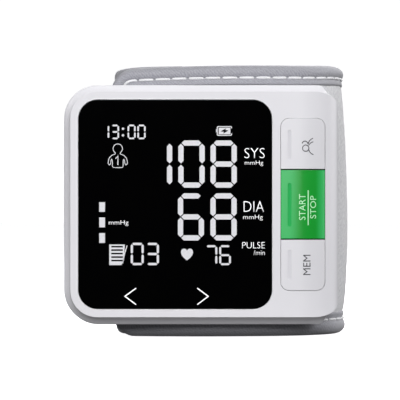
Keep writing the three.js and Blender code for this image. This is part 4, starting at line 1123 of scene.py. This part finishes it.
# Place beside the strap's edge: t runs along the edge, round the corners at endS and back; depth goes inwards
def edgePlace(openS, endS, t, depth, inset):
    side = 1 if endS > openS else -1
    radius = strap["corner"]
    height = ring["height"]
    straight, quarter, upright = edgeRuns(openS, endS)
    first = np.clip(t - straight, 0, quarter) / radius
    second = np.clip(t - straight - quarter - upright, 0, quarter) / radius
    centreS = endS - side * radius
    top = t < straight + quarter
    middle = (t >= straight + quarter) & (t < straight + quarter + upright)
    back = np.maximum(t - straight - 2 * quarter - upright, 0)
    reach = radius - depth
    s = np.where(
        top, np.where(t < straight, openS + side * t, centreS + side * reach * np.sin(first)),
        np.where(middle, endS - side * depth, centreS + side * (reach * np.cos(second) - back)))
    s = np.where(back > 0, centreS - side * back, s)
    z = np.where(
        top, height - radius + reach * np.cos(first),
        np.where(middle, height - radius - (t - straight - quarter), radius - reach * np.sin(second)))
    return strapPlace(s, z, inset)


# Length along the strap that belongs to a length along its edge
def alongStrap(openS, endS, t):
    nearest = np.minimum(t, edgeLength(openS, endS) - t)
    straight = edgeRuns(openS, endS)[0]
    return np.where(nearest < straight, openS + (endS - openS) * nearest / abs(endS - openS), endS)


# A grid laid in place by a function of its two shares, with its map in real metres, then given thickness
def layCloth(alongCount, acrossCount, length, width, place, clothThickness):
    bpy.ops.mesh.primitive_grid_add(x_subdivisions=alongCount, y_subdivisions=acrossCount, size=1)
    cloth = bpy.context.object
    shares = readPlaces(cloth)[:, :2] + 0.5
    writePlaces(cloth, place(shares[:, 0], shares[:, 1]) * mm)
    uv = cloth.data.uv_layers[0].data
    flat = np.empty(2 * len(uv))
    uv.foreach_get("uv", flat)
    flat = flat.reshape(-1, 2) * [length * mm, width * mm]
    uv.foreach_set("uv", flat.ravel())
    addModifier(cloth, "SOLIDIFY", thickness=clothThickness * mm, offset=0)
    turnOutwards(cloth)
    return cloth


# Sheets of cloth, laid clear of the strap's rounded end, where they lose height to its corners
def sheetPlace(openS, endS, u, v):
    start = strap["coverStart"]
    side = 1 if endS > openS else -1
    s = openS + u * (endS - side * start - openS)
    radius = strap["corner"] - start
    near = np.clip(radius - np.abs(s - endS) + start, 0, radius)
    lost = start + (radius - np.sqrt(np.maximum(radius ** 2 - near ** 2, 0)))
    return s, lost + v * (ring["height"] - 2 * lost)


def addSheet(openS, endS, place, sheet):
    length = abs(endS - openS)
    return layCloth(int(length / sheet["step"]), int(ring["height"] / sheet["step"]), length, ring["height"],
                    lambda u, v: place(openS, endS, u, v), sheet["thick"])


# White loop cover: flat under the housing, puffed like a barrel round the bends and the back
cover = {
    "edgeInset": 1.2, "puff": 1.7, "flatPuff": 0.4, "thick": 0.7, "step": 0.8, "tuft": 0.22, "tuftSize": 1.7,
    "crownPower": 0.55, "topFree": 0.8, "topShare": 0.25, "endRun": 12,
}


def coverPlace(openS, endS, u, v):
    s, z = sheetPlace(openS, endS, u, v)
    puffed = smoothStep(swellStart, swellStart + swellRun, s)
    puffed = puffed * (1 - smoothStep(tailHinge - swellRun, tailHinge, s))
    freeHeight = ring["height"] - 2 * strap["tapeReach"] + cover["topFree"]
    free = np.clip((z - strap["tapeReach"]) / freeHeight, 0, 1)
    crown = np.sin(math.pi * free) ** cover["crownPower"]
    ends = np.clip(np.abs(s - endS) / cover["endRun"], 0, 1)
    fuller = 1 - cover["topShare"] * (2 * free - 1)
    swell = cover["flatPuff"] + (cover["puff"] - cover["flatPuff"]) * puffed
    return strapPlace(s, z, cover["edgeInset"] - crown * fuller * ends * swell)


def addCover(openS, endS, name, nodes):
    piece = addSheet(openS, endS, coverPlace, cover)
    tufts = bpy.data.textures.new("tufts", type="CLOUDS")
    tufts.noise_scale = cover["tuftSize"] * mm
    tufts.noise_depth = 2
    addModifier(piece, "DISPLACE", texture=tufts, strength=cover["tuft"] * mm, mid_level=0.5,
                texture_coords="LOCAL")
    smoothShade(piece, 60)
    finishPiece(piece, name, velourWhite, None, nodes)
    return piece


# Grey knitted lining: lies on the wrist side, slightly quilted by the bladder behind it
lining = {"inset": 0.85, "thick": 0.5, "step": 1.2, "crown": 0.5, "crownPower": 0.6}


def liningPlace(openS, endS, u, v):
    s, z = sheetPlace(openS, endS, u, v)
    free = np.clip((z - strap["tapeReach"]) / (ring["height"] - 2 * strap["tapeReach"]), 0, 1)
    crown = np.sin(math.pi * free) ** lining["crownPower"] * lining["crown"]
    return strapPlace(s, z, thickness(s) - lining["inset"] + crown)


def addLining(openS, endS, name, nodes):
    piece = addSheet(openS, endS, liningPlace, lining)
    smoothShade(piece, 60)
    finishPiece(piece, name, liningGrey, None, nodes)
    return piece


# Binding tape: (depth from the edge, inset) from its raw edge, over the stitch groove, round to the inside
tapeHalf = [
    (5.5, 1.2), (5.8, 1.05), (5.95, 0.82), (5.85, 0.62), (5.5, 0.57), (4.9, 0.68), (4.2, 0.85), (3.7, 1.0),
    (3.35, 1.08), (3.0, 0.82), (2.5, 0.42), (1.9, 0.25), (1.3, 0.34), (0.85, 0.6), (0.5, 1.0), (0.22, 1.55),
    (0.05, 2.25), (0, 2.95),
]
tape = {
    "section": np.array(tapeHalf + [(depth, strap["thick"] - inset)
                                    for depth, inset in reversed(tapeHalf[:-1])]),
    "thick": 0.45, "width": 17, "step": 0.7, "pitch": 4.72, "stitch": 4.2, "threadRadius": 0.42,
    "threadDip": 0.3, "threadInset": 0.55, "pucker": 0.14, "puckerReach": 1.3, "puckerLow": 0.25,
    "firstGap": 1.35, "outerShare": 0.68, "lowShare": 0.22,
}


# Past its stitches the outer side is narrower than the inner one; along the lower edge they lie deeper
def tapePlace(openS, endS, u, v):
    total = edgeLength(openS, endS)
    straight = edgeRuns(openS, endS)[0]
    t = u * total
    share = np.linspace(0, 1, len(tape["section"]))
    depth = np.interp(v, share, tape["section"][:, 0])
    inset = np.interp(v, share, tape["section"][:, 1])
    outer = inset < strap["thick"] / 2
    upper = 1 - np.clip((t - straight) / (total - 2 * straight), 0, 1)
    past = np.maximum(depth - strap["stitchDepth"], 0)
    lowered = np.minimum(depth, strap["stitchDepth"]) * tape["lowShare"] * (1 - upper)
    depth = depth + (lowered - past * (1 - tape["outerShare"])) * outer
    puckers = np.abs(np.sin(math.pi * (t - straight + tape["firstGap"]) / tape["pitch"]))
    near = hump(depth, strap["stitchDepth"] * (1 + tape["lowShare"] * (1 - upper)), tape["puckerReach"])
    shift = tape["pucker"] * (0.5 - puckers) * near * (tape["puckerLow"] + (1 - tape["puckerLow"]) * upper)
    inset = inset + np.where(outer, shift, -shift)
    return edgePlace(openS, endS, t, depth, inset * thickness(alongStrap(openS, endS, t)) / strap["thick"])


def addTape(openS, endS, name, nodes):
    length = edgeLength(openS, endS)
    piece = layCloth(int(length / tape["step"]), 2 * len(tape["section"]) - 2, length, tape["width"],
                     lambda u, v: tapePlace(openS, endS, u, v), tape["thick"])
    smoothShade(piece, 60)
    return finishPiece(piece, name, tapeGrey, None, nodes)


# One sewn stitch, lying along X: a thread end dips at each hole; its copies follow the edge
def addStitch():
    radius = tape["threadRadius"]
    half = tape["stitch"] / 2
    bpy.ops.mesh.primitive_uv_sphere_add(segments=10, ring_count=8, radius=radius * mm,
                                         rotation=(0, math.radians(90), 0))
    stitch = applyTransform(bpy.context.object)
    places = readPlaces(stitch) / mm
    places[:, 0] += np.sign(np.round(places[:, 0], 4)) * (half - radius)
    places[:, 2] -= tape["threadDip"] * (np.abs(places[:, 0]) / half) ** 4
    writePlaces(stitch, places * mm)
    addModifier(stitch, "SUBSURF", levels=1, render_levels=1)
    return stitch


# Stitches keep their pitch along the sewn line, which is shorter round the corners than the edge itself
def addStitches(openS, endS, name):
    radius = strap["corner"]
    depth = strap["stitchDepth"]
    straight, quarter, upright = edgeRuns(openS, endS)
    sewn = math.pi / 2 * (radius - depth)
    sewnMarks = np.cumsum([0, straight, sewn, upright, sewn, straight])
    edgeMarks = np.cumsum([0, straight, quarter, upright, quarter, straight])
    model = addStitch()
    shape = readPlaces(model) / mm
    offset = (straight - tape["firstGap"] + tape["pitch"] / 2) % tape["pitch"]
    copies = []
    for centre in np.arange(offset, sewnMarks[-1] - tape["stitch"] / 2, tape["pitch"]):
        if centre < tape["stitch"] / 2:
            continue
        for outer in (True, False):
            copy = model.copy()
            copy.data = model.data.copy()
            bpy.context.collection.objects.link(copy)
            t = np.interp(centre + shape[:, 0], sewnMarks, edgeMarks)
            lift = tape["threadInset"] - shape[:, 2]
            inset = lift if outer else strap["thick"] - lift
            lower = np.clip((t - straight - radius) / (edgeMarks[-1] - 2 * straight), 0, 1)
            row = depth * (1 + tape["lowShare"] * lower * outer)
            share = thickness(alongStrap(openS, endS, t)) / strap["thick"]
            writePlaces(copy, edgePlace(openS, endS, t, row + shape[:, 1], inset * share) * mm)
            copies.append(copy)
    bpy.data.objects.remove(model, do_unlink=True)
    piece = joinPieces(copies)
    turnOutwards(piece)
    smoothShade(piece, 60)
    return finishPiece(piece, name, threadWhite)


def bendFront(piece):
    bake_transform(piece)


def bendTail(piece):
    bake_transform(piece)


for label, openS, endS, bend, covers, linings, bindings in (
        ("Front", backMiddle, 0, bendFront, ["cuff_cover_front", "cuff_cover_back"],
         ["cuff_lining_front", "cuff_lining_back"], ["edge_binding_front"]),
        ("Tail", backMiddle, strapEnd, bendTail, ["tail_cover", "cuff_cover_back"],
         ["tail_lining", "cuff_lining_back"],
         ["edge_binding_back_low", "edge_binding_back_high", "edge_binding_tail"])):
    for piece in (addCover(openS, endS, "cuffCover" + label, covers),
                  addLining(openS, endS, "cuffLining" + label, linings),
                  addTape(openS, endS, "edgeTape" + label, bindings),
                  addStitches(openS, endS, "stitches" + label)):
        bend(piece)
print("strap modelled")


# Studio: a white tent that the camera sees but that lights nothing, faint light all round, a key box in front
# and above, a low box for the lower edges, boxes and strips above, at the sides and behind, and a glow from
# the table under the front. Each light: size in metres, power, azimuth, elevation
studio = {
    "radius": 4, "surroundings": 0.05, "distance": 1.2, "target": (0, 0, 0.0375), "floorShare": 1.1,
    "lights": {
        "keyBox": ((0.7, 0.4), 7.8, -3, 28), "lowBox": ((0.5, 0.14), 2.6, -9, 9),
        "topBox": ((0.8, 0.5), 1.5, 0, 80), "leftStrip": ((0.08, 0.4), 0.1, -8, 0),
        "rightStrip": ((0.08, 0.4), 0.3, 56, 0), "rightFill": ((0.35, 0.35), 2.6, 32, 24),
        "rightBox": ((0.6, 0.6), 8, 112, 20), "leftBox": ((0.5, 0.6), 2.5, -70, 28),
        "backBox": ((1.0, 0.6), 8, 172, 32),
    },
    "glow": ((0.078, 0.01), 0.00095, 0, -90, 0.002, (0.0005, -0.037, 0)),
}
# Backlit pale cloth: even white from behind, with a faint weave
backlitCloth = plainFinish("backlitCloth", "FBFBFC", "F6F6F7", 30,
                           {"Roughness": 0.9, "Emission Strength": 1.0})


def addTent():
    bpy.ops.mesh.primitive_uv_sphere_add(segments=48, ring_count=24, radius=studio["radius"])
    tent = bpy.context.object
    places = readPlaces(tent)
    places[:, 2] = np.maximum(places[:, 2], -strap["sag"] * studio["floorShare"] * mm)
    writePlaces(tent, places)
    smoothShade(tent, 40)
    tent.name = "studioTent"
    tent.data.name = "studioTent"
    tent.data.materials.append(backlitCloth)
    tent.visible_diffuse = False
    tent.visible_glossy = False
    tent.visible_shadow = False


def addSurroundings():
    scene = bpy.context.scene
    scene.world = bpy.data.worlds.new("studio")
    scene.world.use_nodes = True
    background = scene.world.node_tree.nodes["Background"]
    background.inputs["Color"].default_value = linearColour("FFFFFF")
    background.inputs["Strength"].default_value = studio["surroundings"]
    scene.view_settings.view_transform = "Standard"


def addLight(name, size, power, azimuth, elevation, distance=studio["distance"], target=studio["target"]):
    lamp = bpy.data.lights.new(name, "AREA")
    lamp.shape = "RECTANGLE"
    lamp.size, lamp.size_y = size
    lamp.energy = power
    stand = bpy.data.objects.new(name, lamp)
    turn = math.radians(azimuth)
    lift = math.radians(elevation)
    way = Vector((math.sin(turn) * math.cos(lift), -math.cos(turn) * math.cos(lift), math.sin(lift)))
    stand.location = Vector(target) + way * distance
    stand.rotation_euler = way.to_track_quat("Z", "Y").to_euler()
    bpy.context.collection.objects.link(stand)
    return stand


addTent()
addSurroundings()
for name, light in studio["lights"].items():
    addLight(name, *light)
tableGlow = addLight("tableGlow", *studio["glow"])
tableGlow.rotation_euler = (math.pi, 0, 0)
print("studio lit")
